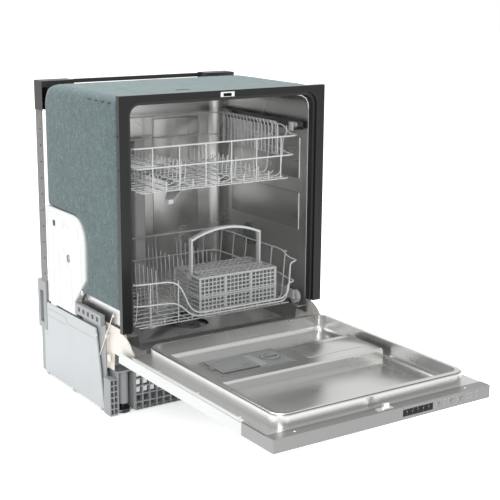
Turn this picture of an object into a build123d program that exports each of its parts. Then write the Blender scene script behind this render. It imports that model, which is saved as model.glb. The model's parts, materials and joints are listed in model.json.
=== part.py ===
"""Built-in dishwasher, 600 mm class, fully integrated, with its door open.

Frame: origin on the floor line, midway across the width, in the plane of the tub frame's front
face. X runs across the machine, Y runs from front to back and Z points up. Millimetres.
"""
import os

from build123d import *

# ---------------------------------------------------------------- driving dimensions
WIDTH = 598
HEIGHT = 815
HALF = WIDTH / 2

# tub frame and tub
FRAME_FACE = 25
FRAME_BOTTOM = 238
FRAME_TOP_FACE = 17
FRAME_SKIN = 1.6
FRAME_SIDE_DEPTH = 14
SIDE_HOLE_ZS = (640, 720)
SIDE_HOLE_R = 2.5
MOUTH_HALF = HALF - FRAME_FACE
MOUTH_TOP = HEIGHT - FRAME_TOP_FACE
MOUTH_RADIUS = 32
TUB_FRONT = 28
TUB_SHEET = 1.2
TUB_TOP = 790
TUB_RADIUS = 45
TUB_BOTTOM = 178
PAN_FLOOR = TUB_BOTTOM + 2
TUB_SEAM = 430
TUB_REAR = 474
LEDGE_Z = 220
LEDGE_IN = 244
FLOOR_HALF = 232

# insulation, rear posts and reservoir
FELT = 18
FELT_IN = MOUTH_HALF + 3
FELT_BOTTOM = 288
FELT_REAR = 432
FELT_CORNER = 60
POST_REAR = 480
POST_WEB = 40
BRACKET_LOW = 738
POST_LOW = 268
RESERVOIR_Y = (206, 437)
RESERVOIR_Z = (218, 486)
RESERVOIR_CORNER = 66

# base
BASE_FRONT = 76
BASE_REAR = 500
UPRIGHT_REAR = 505
PORT_REAR = 516
GRILLE_TOP = 108
GRILLE_HALF = 226
PILLAR_IN = 277
PILLAR_TOP = 98
FOOT_X = 251
FOOT_Y = 102
REAR_FOOT_Y = 440
FOOT_THREAD_R = 6
FOOT_PAD_R = 19
VALVE_X = -130
VALVE_R = 13.2
DRAIN_X = -232
DRAIN_R = 10
PORT_Z = 70

# door, in its open position
HINGE_Y = -11
HINGE_Z = 183
HINGE_PIN_R = 4
DOOR_OUT = 160
DOOR_IN = 190
DOOR_TAIL = 24
PANEL_SPLIT = -524
DOOR_EDGE = -641
RIM_HALF = 264
RIM_REAR = -52
RIM_FRONT = -604
RIM_Z = 220
RIM_WIDTH = 14
PAN_Z = 180
RIDGE_Z = 204
RIDGE_REAR = -241
RIDGE_FRONT = -340
PAN_FILLET = 13
DECOR_X = 210
DECOR_YS = (-440, -120)
DECOR_HOLE_R = 2.5

# sump, filters and spray arms
SUMP_X = -15
SUMP_Y = 168
SUMP_R = 54
ARM_Y = 250
LOWER_ARM_Z = 196
LOWER_ARM_R = 198
UPPER_ARM_Z = 528
UPPER_ARM_R = 203
UPPER_FEED_Z = 555
HUB_PIN_R = 12
UPPER_PIN_R = 10
SALT_X = -150
SALT_Y = 335

# racks
RACK_FRONT = 36
RACK_REAR = 444
LOWER_RIM_HALF = 248
LOWER_RIM_Z = 360
LOWER_FRONT_Z = 345
LOWER_MID_Z = 295
LOWER_BASE_HALF = 236
LOWER_BASE_Z = 229
TINE_TOP = 350
TINE_ROWS = ((-130, 130, 10), (-15, 192, 8), (90, 192, 8))
WHEEL_R = 18
WHEEL_YS = (60, 110, 360, 410)
WHEEL_Z = LEDGE_Z + WHEEL_R + 0.3
UPPER_RIM_HALF = 246
UPPER_RIM_Z = 702
UPPER_FRONT_Z = 682
UPPER_MID_Z = 640
UPPER_BASE_HALF = 226
UPPER_BASE_Z = 570
RIM_WIRE = 2.5
WIRE = 1.8
RAIL_Z = 705
RAIL_HALF_H = 10.6
RAIL_IN = 253
RAIL_OUT = 265.2
ROLLER_R = 8.6
ROLLER_YS = (75, 395)
AXLE_R = 3
SHELF_X = 222
SHELF_Y = (96, 372)
SHELF_Z = 626
SHELF_REACH = 85

# cutlery basket
BASKET_X = (-52, 184)
BASKET_Y = (46, 178)
BASKET_Z = (231.5, 338)
BASKET_WALL = 2.4
HANDLE_Y = 112
HANDLE_X = (BASKET_X[0] + 10, BASKET_X[1] - 10)
HANDLE_TOP = 447
HANDLE_PIVOT_Z = BASKET_Z[1] - 9

# detergent dispenser, on the door's ridge
DISPENSER_X = (-205, 5)
DISPENSER_Y = (-302, -192)
DISPENSER_Z = 208
CAP_X = -35
CAP_Y = -247
CAP_R = 22
CUP_X = (-194, -98)
CUP_Y = (-290, -212)
CUP_Z = 176
LID_PIN = (-208, DISPENSER_Z)
LATCH_SLOT_Y = (-262, -238)
KEY_XS = (147, 184, 213)
KEY_NAMES = ("power_key", "program_key", "start_key")
KEY_R = 5
PANEL_Z = (DOOR_OUT + DOOR_IN) / 2
WINDOW_X = (41, 127)
WINDOW_Z = (PANEL_Z - 8, PANEL_Z + 8)
LATCH_Y = (-634, -628)


# ---------------------------------------------------------------- helpers
def block(x, y, z):
    """A box given by its (low, high) pairs."""
    size = [b - a for a, b in (x, y, z)]
    centre = [(a + b) / 2 for a, b in (x, y, z)]
    return Pos(*centre) * Box(*size)


def rod(start, end, radius):
    """A round bar from one point to another."""
    a = Vector(*start)
    b = Vector(*end)
    place = Plane(origin=a, z_dir=b - a)
    base = (Align.CENTER, Align.CENTER, Align.MIN)
    return place * Cylinder(radius, (b - a).length, align=base)


def disc(x, y, z0, z1, radius):
    """An upright round plate or pin."""
    return rod((x, y, z0), (x, y, z1), radius)


def across(x0, x1, y, z, radius):
    """A round bar that lies along X."""
    return rod((x0, y, z), (x1, y, z), radius)


def run(points, radius):
    """Straight wires through a list of points."""
    return [rod(a, b, radius) for a, b in zip(points, points[1:])]


def both_sides(shape):
    """A shape and its mirror image across the middle of the machine."""
    return [shape, mirror(shape, about=Plane.YZ)]


def upright_plate(sketch, y0, y1):
    """Extrudes a sketch drawn as (x, z) from y0 back to y1."""
    plane = Plane(origin=(0, y0, 0), x_dir=(1, 0, 0), z_dir=(0, -1, 0))
    return extrude(plane * sketch, -(y1 - y0))


def side_plate(points, x0, x1):
    """Extrudes an outline of (y, z) points from x0 to x1."""
    plane = Plane(origin=(x0, 0, 0), x_dir=(0, 1, 0), z_dir=(1, 0, 0))
    return extrude(plane * make_face(Polyline(*points, close=True)), x1 - x0)


def arch(half, top, radius, low=-400):
    """A doorway outline with rounded top corners, as (x, z)."""
    tall = top - low
    return Pos(0, low + tall / 2) * RectangleRounded(2 * half, tall, radius)


def flat_pan(x_half, y0, y1, z0, z1, radius):
    """A slab with rounded vertical corners."""
    middle = (y0 + y1) / 2
    face = Pos(0, middle, z0) * RectangleRounded(2 * x_half, y1 - y0, radius)
    return extrude(face, z1 - z0)


def save(name, *shapes):
    """Writes one node."""
    solids = []
    for shape in shapes:
        for piece in shape if isinstance(shape, (list, tuple)) else [shape]:
            solids += list(piece.solids())
    export_step(Compound(solids) if len(solids) > 1 else solids[0], f"parts/{name}.step")


# ---------------------------------------------------------------- cabinet
def front_frame():
    """The channel-section frame round the tub's mouth."""
    low = FRAME_BOTTOM
    outer = Pos(0, (low + HEIGHT) / 2) * Rectangle(WIDTH, HEIGHT - low)
    inset = HALF - FRAME_SKIN
    inner_skin = Pos(0, (low + HEIGHT - FRAME_SKIN) / 2) * Rectangle(2 * inset, HEIGHT - FRAME_SKIN - low)
    mouth = arch(MOUTH_HALF, MOUTH_TOP, MOUTH_RADIUS)
    lip = arch(MOUTH_HALF + FRAME_SKIN, MOUTH_TOP + FRAME_SKIN, MOUTH_RADIUS + FRAME_SKIN)
    face = upright_plate(outer - mouth, 0, FRAME_SKIN)
    side = upright_plate(outer - inner_skin, 0, FRAME_SIDE_DEPTH)
    lip_wall = upright_plate((outer & lip) - mouth, 0, TUB_FRONT)
    frame = face + side + lip_wall
    frame -= block((-12, 12), (-1, FRAME_SKIN + 1), (MOUTH_TOP + 2, MOUTH_TOP + 10))
    for x in (-HALF, HALF - 5):
        for z in SIDE_HOLE_ZS:
            frame -= across(x - 1, x + 6, FRAME_SIDE_DEPTH / 2, z, SIDE_HOLE_R)
    return frame


def door_seal():
    """The rubber lip that lines the mouth."""
    zone = Pos(0, 600) * Rectangle(WIDTH, 720)
    outer = arch(MOUTH_HALF - 0.4, MOUTH_TOP - 0.4, MOUTH_RADIUS)
    inner = arch(MOUTH_HALF - 7.6, MOUTH_TOP - 7.6, MOUTH_RADIUS - 7)
    return upright_plate((outer - inner) & zone, 6, 24)


def latch_strike():
    """The bright plate that the door latch passes through."""
    low = MOUTH_TOP + 1
    plate = block((-20, 20), (-1.2, 0), (low, low + 12))
    slot = block((-12, 12), (-2, 1), (MOUTH_TOP + 2, MOUTH_TOP + 10))
    return plate - slot


def tub_wrapper():
    """The stainless sides and ceiling, bent from one sheet."""
    zone = Pos(0, 600) * Rectangle(WIDTH, 2 * (600 - TUB_BOTTOM - 20))
    inner = arch(MOUTH_HALF, TUB_TOP, TUB_RADIUS)
    outer = arch(MOUTH_HALF + TUB_SHEET, TUB_TOP + TUB_SHEET, TUB_RADIUS + TUB_SHEET)
    return upright_plate((outer - inner) & zone, TUB_FRONT, TUB_SEAM)


def back_pan(half, top, rear, corner, edge):
    """A rounded block that shapes the drawn back of the tub."""
    body = upright_plate(arch(half, top, corner), TUB_SEAM, rear)
    return fillet(body.faces().sort_by(Axis.Y)[-1].edges(), edge)


def tub_back_wall():
    """The drawn stainless back of the tub."""
    t = TUB_SHEET
    outer = back_pan(MOUTH_HALF + t, TUB_TOP + t, TUB_REAR, TUB_RADIUS + t, 41 + t)
    inner = back_pan(MOUTH_HALF, TUB_TOP, TUB_REAR - t, TUB_RADIUS, 41)
    keep = block((-HALF, HALF), (0, 600), (TUB_BOTTOM + 20, HEIGHT))
    apron = block((-LEDGE_IN, LEDGE_IN), (TUB_REAR - 8, 600), (PAN_FLOOR - 1.6, HEIGHT))
    return (outer - inner) & (keep + apron)


def tub_floor():
    """The stainless floor with its wheel ledges, its front dam and its three holes."""
    t = 1.6
    top = [
        (-MOUTH_HALF, LEDGE_Z), (-LEDGE_IN, LEDGE_Z), (-FLOOR_HALF, PAN_FLOOR),
        (FLOOR_HALF, PAN_FLOOR), (LEDGE_IN, LEDGE_Z), (MOUTH_HALF, LEDGE_Z),
    ]
    low = [(x, z - t) for x, z in reversed(top)]
    sheet = upright_plate(make_face(Polyline(*top, *low, close=True)), TUB_FRONT, TUB_REAR)
    dam = block((-FLOOR_HALF, FLOOR_HALF), (TUB_FRONT, TUB_FRONT + t), (PAN_FLOOR - t, PAN_FLOOR + 18))
    plan = flat_pan(MOUTH_HALF, -TUB_REAR, TUB_REAR - TUB_SHEET, 100, 300, 42)
    floor = (sheet + dam) & plan
    floor -= disc(SUMP_X, SUMP_Y, 100, 300, SUMP_R)
    floor -= disc(0, ARM_Y, 100, 300, 18)
    return floor - disc(SALT_X, SALT_Y, 100, 300, 33)


def insulation_blanket():
    """The felt over the sides and top, with a cut-out behind the reservoir."""
    inner = arch(FELT_IN, TUB_TOP + 3, TUB_RADIUS)
    outer = arch(FELT_IN + FELT, TUB_TOP + 3 + FELT, 20)
    zone = Pos(0, 600) * Rectangle(WIDTH, 2 * (600 - FELT_BOTTOM))
    felt = upright_plate((outer - inner) & zone, FRAME_SIDE_DEPTH + 1, FELT_REAR)
    corner_y = FELT_REAR - FELT_CORNER
    corner_z = TUB_TOP + 3 + FELT - FELT_CORNER
    corner_round = across(-HALF - 1, HALF + 1, corner_y, corner_z, FELT_CORNER)
    corner_low = block((-HALF, HALF), (corner_y, FELT_REAR + 1), (0, corner_z))
    corner_front = block((-HALF, HALF), (0, corner_y), (0, HEIGHT))
    felt &= corner_front + corner_low + corner_round
    lip = arch(FELT_IN - 0.5, MOUTH_TOP + FRAME_SKIN + 0.8, MOUTH_RADIUS + 4)
    felt -= upright_plate(lip, 0, TUB_FRONT + 1)
    return felt - reservoir_body(-HALF - 1, -FELT_IN + 1, 1.5)


def reservoir_outline(grow=0.0):
    """The reservoir's outline as (y, z), larger all round by grow."""
    rear = RESERVOIR_Y[1] + grow
    front = RESERVOIR_Y[0] - grow
    top = RESERVOIR_Z[1] + grow
    low = RESERVOIR_Z[0] - grow
    cut = RESERVOIR_CORNER
    arc = ThreePointArc((front + cut, top), (front + 0.293 * cut, top - 0.293 * cut), (front, top - cut))
    rest = Polyline(
        (front, top - cut), (front, low + 110), (front + 62, low + 42), (front + 66, low), (rear, low), (rear, top),
        (front + cut, top),
    )
    return make_face(arc + rest)


def reservoir_body(x0, x1, grow):
    """The reservoir's outline, extruded across from x0 to x1."""
    plane = Plane(origin=(x0, 0, 0), x_dir=(0, 1, 0), z_dir=(1, 0, 0))
    return extrude(plane * reservoir_outline(grow), x1 - x0)


def water_reservoir():
    """The moulded water reservoir and air break on the left side."""
    x0 = -HALF + 0.4
    x1 = -FELT_IN - 1
    body = reservoir_body(x0, x1, 0)
    body = fillet(body.faces().sort_by(Axis.X)[0].edges(), 5)
    body -= reservoir_body(x0 + 2, x1 - 2, -3)
    return body


def rear_posts():
    """Two galvanised angle posts with a row of round holes."""
    x0 = -HALF + 1
    web = block((x0, x0 + 1.5), (POST_REAR - POST_WEB, POST_REAR), (POST_LOW, BRACKET_LOW + 60))
    back = block((x0, x0 + 14), (POST_REAR - 1.5, POST_REAR), (POST_LOW, BRACKET_LOW + 60))
    post = web + back
    for i in range(10):
        post -= across(x0 - 1, x0 + 3, POST_REAR - 26, POST_LOW + 24 + 44 * i, 3)
    return both_sides(post)


def rear_brackets():
    """Black moulded corner brackets joined by a thin rail across the back."""
    y = (FELT_REAR + 1, POST_REAR + 2)
    leg = block((-HALF, -HALF + 21), y, (BRACKET_LOW, HEIGHT))
    top = block((-HALF, -206), y, (HEIGHT - 20, HEIGHT))
    pocket = block((-HALF + 1.0, -HALF + 15.5), (y[0] - 1, POST_REAR + 0.3), (0, BRACKET_LOW + 61))
    corner = leg + top - pocket
    corner -= rod((-240, y[0] - 1, HEIGHT - 10), (-240, y[1] + 1, HEIGHT - 10), 3)
    rail = block((-206, 206), (POST_REAR - 12, POST_REAR), (HEIGHT - 12, HEIGHT - 2))
    return [both_sides(corner)[0] + rail + both_sides(corner)[1]]


def base_tray():
    """The moulded base: tray, side walls, front lattice, pillars, foot pockets and uprights."""
    t = 3
    base = block((-290, 290), (BASE_FRONT + 8, BASE_REAR), (6, 6 + t))
    base -= block((-200, 200), (160, 400), (0, 20))
    base += block((-GRILLE_HALF, GRILLE_HALF), (BASE_REAR - t, BASE_REAR), (6, 130))
    for x in (VALVE_X, DRAIN_X):
        base -= rod((x, BASE_REAR - 9, PORT_Z), (x, BASE_REAR + 9, PORT_Z), 17)
    side = block((-291, -288), (110, BASE_REAR), (6, 208)) + block((-291, -288), (110, 238), (208, 232))
    side -= block((-300, -280), (170, 420), (40, 190))
    rim = block((-HALF, -287), (120, 266), (228, 256))
    for i in range(5):
        rim -= block((-HALF - 1, -290), (134 + 26 * i, 146 + 26 * i), (236, 248))
    upright = block((-HALF, -284), (450, UPRIGHT_REAR), (132, 268))
    upright -= block((-HALF - 1, -287), (468, 490), (150, 240))
    upright += block((-293.4, -288), (462, BASE_REAR), (6, 140))
    pillar = block((-HALF, -PILLAR_IN), (BASE_FRONT, 110), (2, PILLAR_TOP))
    for column in range(2):
        for row in range(6):
            x0 = -HALF + 3 + 10 * column
            z0 = 6 + 15.4 * row
            pillar -= block((x0, x0 + 7.5), (BASE_FRONT - 1, 102), (z0, z0 + 12.4))
    pocket = block((-PILLAR_IN, -GRILLE_HALF), (BASE_FRONT + 2, 128), (6, 116))
    pocket -= block((-PILLAR_IN + 4, -GRILLE_HALF - 4), (BASE_FRONT, 124), (0, 112))
    pocket += foot_boss(-FOOT_X, FOOT_Y)
    for part in (side, rim, upright, pillar, pocket):
        for shape in both_sides(part):
            base += shape
    base += block((-30, 30), (REAR_FOOT_Y - 30, REAR_FOOT_Y + 30), (6, 40))
    for x, y in ((-FOOT_X, FOOT_Y), (FOOT_X, FOOT_Y), (0, REAR_FOOT_Y)):
        base -= disc(x, y, 0, 120, FOOT_THREAD_R + 0.3) + disc(x, y, 0, 13, FOOT_PAD_R + 2)
    lattice = block((-GRILLE_HALF, GRILLE_HALF), (BASE_FRONT, BASE_FRONT + 14), (4, GRILLE_TOP))
    columns = 22
    rows = 5
    pitch_x = 2 * GRILLE_HALF / columns
    pitch_z = (GRILLE_TOP - 4) / rows
    cells = []
    for i in range(columns):
        for j in range(rows):
            x0 = -GRILLE_HALF + i * pitch_x + 1.5
            z0 = 4 + j * pitch_z + 1.5
            cells.append(block((x0, x0 + pitch_x - 3), (0, 200), (z0, z0 + pitch_z - 3)))
    return base + (lattice - cells)


def foot_boss(x, y):
    """The boss that a foot's stem screws into."""
    return disc(x, y, 24, 112, 15)


def foot(x, y, top):
    """A levelling foot: a round pad on a threaded stem."""
    return disc(x, y, 0, 10, FOOT_PAD_R) + disc(x, y, 10, top, FOOT_THREAD_R)


def side_panels():
    """The light covers on both sides of the base."""
    outline = [(111, 10), (470, 10), (470, 131), (449, 131), (449, 213), (152, 216)]
    panel = side_plate(outline, -298, -294)
    for y in (124, 286, 452):
        panel += block((-298, -294), (y, y + 12), (3, 10))
    return both_sides(panel)


def hinge_brackets():
    """Cream brackets that hold the hinge pins, with the pins, rope guides and diagonal rods."""
    outline = [
        (-24, 176), (-18, 169), (-4, 166), (80, 166), (84, 120), (128, 120), (128, 237),
        (20, 237), (4, 200), (-18, 197), (-24, 190),
    ]
    plate = side_plate(outline, -283, -280.5)
    foot_tab = side_plate([(110, 120), (128, 120), (128, 220), (110, 220)], -288, -283)
    pin = across(-288, -280.5, HINGE_Y, HINGE_Z, HINGE_PIN_R)
    guide = across(-286.5, -283, 96, 150, 12)
    tie = rod((-292.5, 60, 277), (-292.5, 141, 146), 1.4)
    lug = block((-293.9, -283), (100, 108), (202, 210))
    head = across(-289.5, -288, HINGE_Y, HINGE_Z, 7)
    return both_sides(plate + foot_tab + pin + guide + lug + tie + head)


def door_springs():
    """The door's balance springs, with the ropes that lead to them."""
    coil = rod((-279, 190, 40), (-279, 330, 40), 8) - rod((-279, 189, 40), (-279, 331, 40), 5)
    hook = rod((-279, 330, 40), (-279, 400, 40), 1.5)
    eye = rod((-279, 186, 40), (-279, 192, 40), 8)
    rope = run([(-279, 188, 40), (-278.6, 130, 98), (-278.6, 96, 138)], 1.3)
    tail = block((-282, -276), (396, 404), (9, 46))
    return both_sides(coil + hook + eye + tail) + [s for r in rope for s in both_sides(r)]


def sump():
    """The sump bowl under the floor, with the riser for the lower arm."""
    bowl = disc(SUMP_X, SUMP_Y, 118, PAN_FLOOR - 1.8, SUMP_R + 8)
    bowl -= disc(SUMP_X, SUMP_Y, 124, 300, SUMP_R)
    riser = disc(0, ARM_Y, 126, 192, 16)
    pin = disc(0, ARM_Y, 192, 206, HUB_PIN_R)
    bore = disc(0, ARM_Y, 130, 220, HUB_PIN_R - 3)
    return bowl + sump_duct(0) + riser + pin - bore


def sump_duct(grow):
    """The duct from the bowl to the riser, larger all round by grow."""
    x = (SUMP_X - grow, 14 + grow)
    y = (SUMP_Y + SUMP_R + 3, ARM_Y + 16 + grow)
    return block(x, y, (126 - grow, 150 + grow))


def flat_filter():
    """The round mesh plate over the sump."""
    plate = disc(SUMP_X, SUMP_Y, 171, 172.5, SUMP_R - 0.3) - disc(SUMP_X, SUMP_Y, 170, 175, 26.5)
    holes = []
    for ring, count in ((33, 14), (40, 18), (47, 22)):
        for place in PolarLocations(ring, count):
            holes.append(Pos(SUMP_X, SUMP_Y, 172) * place * Cylinder(2.2, 6))
    return plate - holes


def filter_cylinder():
    """The lift-out fine filter, which turns to lock."""
    body = disc(SUMP_X, SUMP_Y, 126, 176, 25) - disc(SUMP_X, SUMP_Y, 128, 180, 23)
    ring = disc(SUMP_X, SUMP_Y, 173, 178, 30) - disc(SUMP_X, SUMP_Y, 172, 180, 20)
    grip = block((SUMP_X - 24, SUMP_X + 24), (SUMP_Y - 2.5, SUMP_Y + 2.5), (174, 188))
    return body + ring + grip


def spray_arm(z, length, pin_r, bore, nozzles_up):
    """A two-bladed arm lying along X, with a blind bore between the two heights in bore."""
    blade = make_face(Polyline((0, -19), (length - 10, -11), (length, 0), (length - 10, 11), (0, 19), close=True))
    back = mirror(blade, about=Plane.YZ)
    arm = extrude(Pos(0, 0, z) * (blade + back), 11) + disc(0, 0, z - 2, z + 16, 24)
    arm -= disc(0, 0, *bore, pin_r)
    for i in range(4):
        reach = 60 + 38 * i
        for side in (-1, 1):
            spot = disc(side * reach, 3 * side, z + 7, z + 12, 2)
            if not nozzles_up:
                spot = disc(side * reach, 3 * side, z - 1, z + 4, 2)
            arm -= spot
    return arm


def lower_spray_arm():
    """The arm under the lower rack, turned on the sump's riser."""
    z = LOWER_ARM_Z
    arm = spray_arm(z, LOWER_ARM_R, HUB_PIN_R + 0.05, (z - 3, z + 13), True)
    return Pos(0, ARM_Y, 0) * Rot(0, 0, 38) * arm


def salt_cap():
    """The screw cap of the salt container, in the tub floor."""
    cap = disc(SALT_X, SALT_Y, 170, 186, 32)
    grip = block((SALT_X - 24, SALT_X + 24), (SALT_Y - 4, SALT_Y + 4), (186, 192))
    return cap - disc(SALT_X, SALT_Y, 160, 183, 29) + grip


def water_softener():
    """The softener under the floor, left of the sump."""
    tank = fillet(block((-225, -90), (260, 425), (30, 150)).edges(), 8)
    neck = disc(SALT_X, SALT_Y, 140, 176, 28) - disc(SALT_X, SALT_Y, 160, 190, 24)
    return tank + neck


def wash_pump():
    """The circulation pump and its motor, lying across under the tub."""
    motor = across(60, 170, 210, 88, 46)
    housing = across(34, 60, 210, 88, 40)
    pipe = rod((40, 210, 88), (36, 176, 132), 15)
    feet = block((80, 150), (180, 240), (10, 45))
    return motor + housing + pipe + feet - disc(SUMP_X, SUMP_Y, 100, 300, SUMP_R + 8.2) - sump_duct(0.2)


def drain_pump():
    """The drain pump and its pipe to the outlet at the rear."""
    corners = [(-145, 150, 95), (-245, 235, PORT_Z), (-245, 440, PORT_Z), (DRAIN_X, 476, PORT_Z), (DRAIN_X, 490, PORT_Z)]
    pump = rod((-95, 130, 100), (-150, 130, 100), 26)
    inlet = rod((-95, 130, 100), (-60, 142, 124), 10)
    pipe = run(corners, 7)
    spigot = rod((DRAIN_X, BASE_REAR - 4, PORT_Z), (DRAIN_X, PORT_REAR, PORT_Z), DRAIN_R)
    flange = rod((DRAIN_X, BASE_REAR - 12, PORT_Z), (DRAIN_X, BASE_REAR - 4, PORT_Z), 20)
    body = pump + inlet + spigot + flange
    for piece in pipe:
        body += piece
    for corner in corners[1:-1]:
        body += Pos(*corner) * Sphere(7)
    return body - disc(SUMP_X, SUMP_Y, 100, 300, SUMP_R + 8.2)


def inlet_valve():
    """The water inlet valve with its threaded port at the rear."""
    body = block((VALVE_X - 22, VALVE_X + 22), (462, BASE_REAR - 4), (PORT_Z - 28, PORT_Z + 22))
    port = rod((VALVE_X, BASE_REAR - 4, PORT_Z), (VALVE_X, PORT_REAR, PORT_Z), VALVE_R)
    bore = rod((VALVE_X, BASE_REAR, PORT_Z), (VALVE_X, PORT_REAR + 1, PORT_Z), 8)
    coil = disc(VALVE_X, 474, PORT_Z + 22, PORT_Z + 50, 12)
    return body + port - bore + coil


def feed_conduit():
    """The channel up the rear wall that feeds the upper arm."""
    channel = block((-17, 17), (456, TUB_REAR - TUB_SHEET - 0.1), (PAN_FLOOR + 4, 640))
    channel = fillet(channel.edges().filter_by(Axis.Z).sort_by(Axis.Y)[:2], 6)
    mouth = rod((0, 450, UPPER_FEED_Z), (0, 460, UPPER_FEED_Z), 9)
    return channel + mouth


def wall_vent():
    """The round louvred vent on the right wall."""
    x = (MOUTH_HALF - 8, MOUTH_HALF)
    vent = across(x[0], x[1], 300, 367, 32)
    ring = across(x[0] - 1, x[0] + 3, 300, 367, 24) - across(x[0] - 2, x[0] + 3, 300, 367, 20)
    holes = []
    for i in range(6):
        spot = Vector(0, 14, 0).rotate(Axis.X, 60 * i)
        holes.append(across(x[0] - 2, x[0] + 5, 300 + spot.Y, 367 + spot.Z, 4.5))
    return vent - ring - holes


def rail_profile(x_in, x_out, half_h, t, y):
    """A C-channel that opens towards the middle of the machine."""
    web = block((x_out - t, x_out), y, (RAIL_Z - half_h, RAIL_Z + half_h))
    low = block((x_in, x_out), y, (RAIL_Z - half_h, RAIL_Z - half_h + t))
    high = block((x_in, x_out), y, (RAIL_Z + half_h - t, RAIL_Z + half_h))
    return web + low + high


def rack_rail():
    """One sliding rail of the upper rack, on the right."""
    return rail_profile(RAIL_IN, RAIL_OUT, RAIL_HALF_H, 1.2, (45, 440))


def rail_guides():
    """The fixed guides on the tub walls that hold the sliding rails."""
    guide = rail_profile(RAIL_IN + 3, MOUTH_HALF, RAIL_HALF_H + 2.4, 1.8, (60, 430))
    pad = block((RAIL_OUT + 0.6, MOUTH_HALF), (60, 430), (RAIL_Z - 8, RAIL_Z + 8))
    return both_sides(guide + pad)


# ---------------------------------------------------------------- racks
def slope(z, base_half, base_z, rim_half, rim_z):
    """Half width of a rack's sloping side at a height."""
    return base_half + (rim_half - base_half) * (z - base_z) / (rim_z - base_z)


def rack_wires(base_half, base_z, mid_z, rim_half, rim_z, front_z, side_ys, front_xs):
    """The rims, the mid wires and the uprights that both racks share."""
    front = RACK_FRONT + RIM_WIRE
    rear = RACK_REAR - RIM_WIRE
    mid_half = slope(mid_z, base_half, base_z, rim_half, rim_z)
    cut = 26
    wires = []
    for half, z, low, r in ((rim_half, rim_z, front_z, RIM_WIRE), (mid_half, mid_z, mid_z - 8, WIRE)):
        loop = [
            (-half, front + cut, low), (-half, front + 2.5 * cut, z), (-half, rear - cut, z),
            (-half + cut, rear, z), (half - cut, rear, z), (half, rear - cut, z),
            (half, front + 2.5 * cut, z), (half, front + cut, low), (half - cut, front, low),
            (-half + cut, front, low), (-half, front + cut, low),
        ]
        wires += run(loop, r)
    for y in side_ys:
        for s in (-1, 1):
            wires.append(rod((s * base_half, y, base_z), (s * rim_half, y, rim_z), WIRE))
    for x in front_xs:
        wires.append(rod((x, front, base_z), (x, front, front_z), WIRE))
        wires.append(rod((x, rear, base_z), (x, rear, rim_z), WIRE))
    return wires


def lower_rack():
    """The lower rack: rims, uprights, base wires and three rows of plate tines."""
    side_ys = [92 + 64 * i for i in range(5)]
    front_xs = [-200 + 80 * i for i in range(6)]
    wires = rack_wires(
        LOWER_BASE_HALF, LOWER_BASE_Z, LOWER_MID_Z, LOWER_RIM_HALF, LOWER_RIM_Z, LOWER_FRONT_Z,
        side_ys, front_xs,
    )
    for i in range(7):
        y = RACK_FRONT + RIM_WIRE + 67 * i
        wires.append(across(-LOWER_BASE_HALF, LOWER_BASE_HALF, min(y, RACK_REAR - RIM_WIRE), LOWER_BASE_Z, WIRE))
    for x in (-LOWER_BASE_HALF, -130, -15, 90, LOWER_BASE_HALF):
        wires.append(rod((x, RACK_FRONT + 2, LOWER_BASE_Z), (x, RACK_REAR - 2, LOWER_BASE_Z), WIRE))
    for x, first, count in TINE_ROWS:
        for i in range(count):
            y = first + 30 * i
            wires.append(rod((x, y, LOWER_BASE_Z), (x - 6, y - 4, TINE_TOP), WIRE))
    return wires


def wheel_carriers():
    """The clips on the rack's sides that hold the wheels' axles."""
    carriers = []
    for first in (WHEEL_YS[0], WHEEL_YS[2]):
        plate = block((-253.5, -246), (first - 6, first + 56), (WHEEL_Z - 5, WHEEL_Z + 20))
        plate += block((-246, -243), (first + 20, first + 30), (WHEEL_Z, WHEEL_Z + 16))
        for y in (first, first + 50):
            plate += across(-265, -250, y, WHEEL_Z, AXLE_R)
        carriers += both_sides(plate)
    return carriers


def wheel_pair(y):
    """The left and right wheels on one axle line."""
    wheel = across(-264.6, -254, y, WHEEL_Z, WHEEL_R)
    wheel -= across(-270, -261, y, WHEEL_Z, WHEEL_R - 3) - across(-270, -261, y, WHEEL_Z, 7)
    for i in range(5):
        spot = Vector(0, 11, 0).rotate(Axis.X, 72 * i)
        wheel -= across(-262, -250, y + spot.Y, WHEEL_Z + spot.Z, 2.6)
    wheel -= across(-270, -250, y, WHEEL_Z, AXLE_R + 0.05)
    return both_sides(wheel)


def basket_body():
    """The cutlery basket: a floor, slotted walls and two partitions."""
    x0, x1 = BASKET_X
    y0, y1 = BASKET_Y
    z0, z1 = BASKET_Z[0], BASKET_Z[1] - 3
    w = BASKET_WALL
    basket = block((x0, x1), (y0, y1), (z0, z1))
    thirds = (x1 - x0) / 3
    for i in range(3):
        left = x0 + thirds * i + w
        basket -= block((left, x0 + thirds * (i + 1) - w / 2), (y0 + w, y1 - w), (z0 + w, z1 + 1))
    windows = []
    for i in range(3):
        for j in range(5):
            x = x0 + thirds * i + 8 + 13.4 * j
            for k in range(2):
                z = z0 + 9 + 46 * k
                windows.append(block((x, x + 9), (y0 - 1, y1 + 1), (z, z + 38)))
    for j in range(7):
        for k in range(2):
            y = y0 + 9 + 17 * j
            z = z0 + 9 + 46 * k
            windows.append(block((x0 - 1, x1 + 1), (y, y + 11), (z, z + 38)))
    keep = block((x0 + thirds - w, x0 + thirds + w), (y0, y1), (z0, z1))
    keep += block((x0 + 2 * thirds - w, x0 + 2 * thirds + w), (y0, y1), (z0, z1))
    cut = basket - windows
    lugs = [block((x - 4, x + 4), (HANDLE_Y - 7, HANDLE_Y + 7), (z1 - 14, z1)) for x in (x0 + 5, x1 - 5)]
    return cut + (basket & keep) + lugs - handle_pin_holes()


def handle_pin_holes():
    """The two bores for the handle's pins."""
    x0, x1 = BASKET_X
    left = across(x0 - 5, x0 + 9.5, HANDLE_Y, HANDLE_PIVOT_Z, 2.55)
    return left + across(x1 - 9.5, x1 + 5, HANDLE_Y, HANDLE_PIVOT_Z, 2.55)


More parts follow.
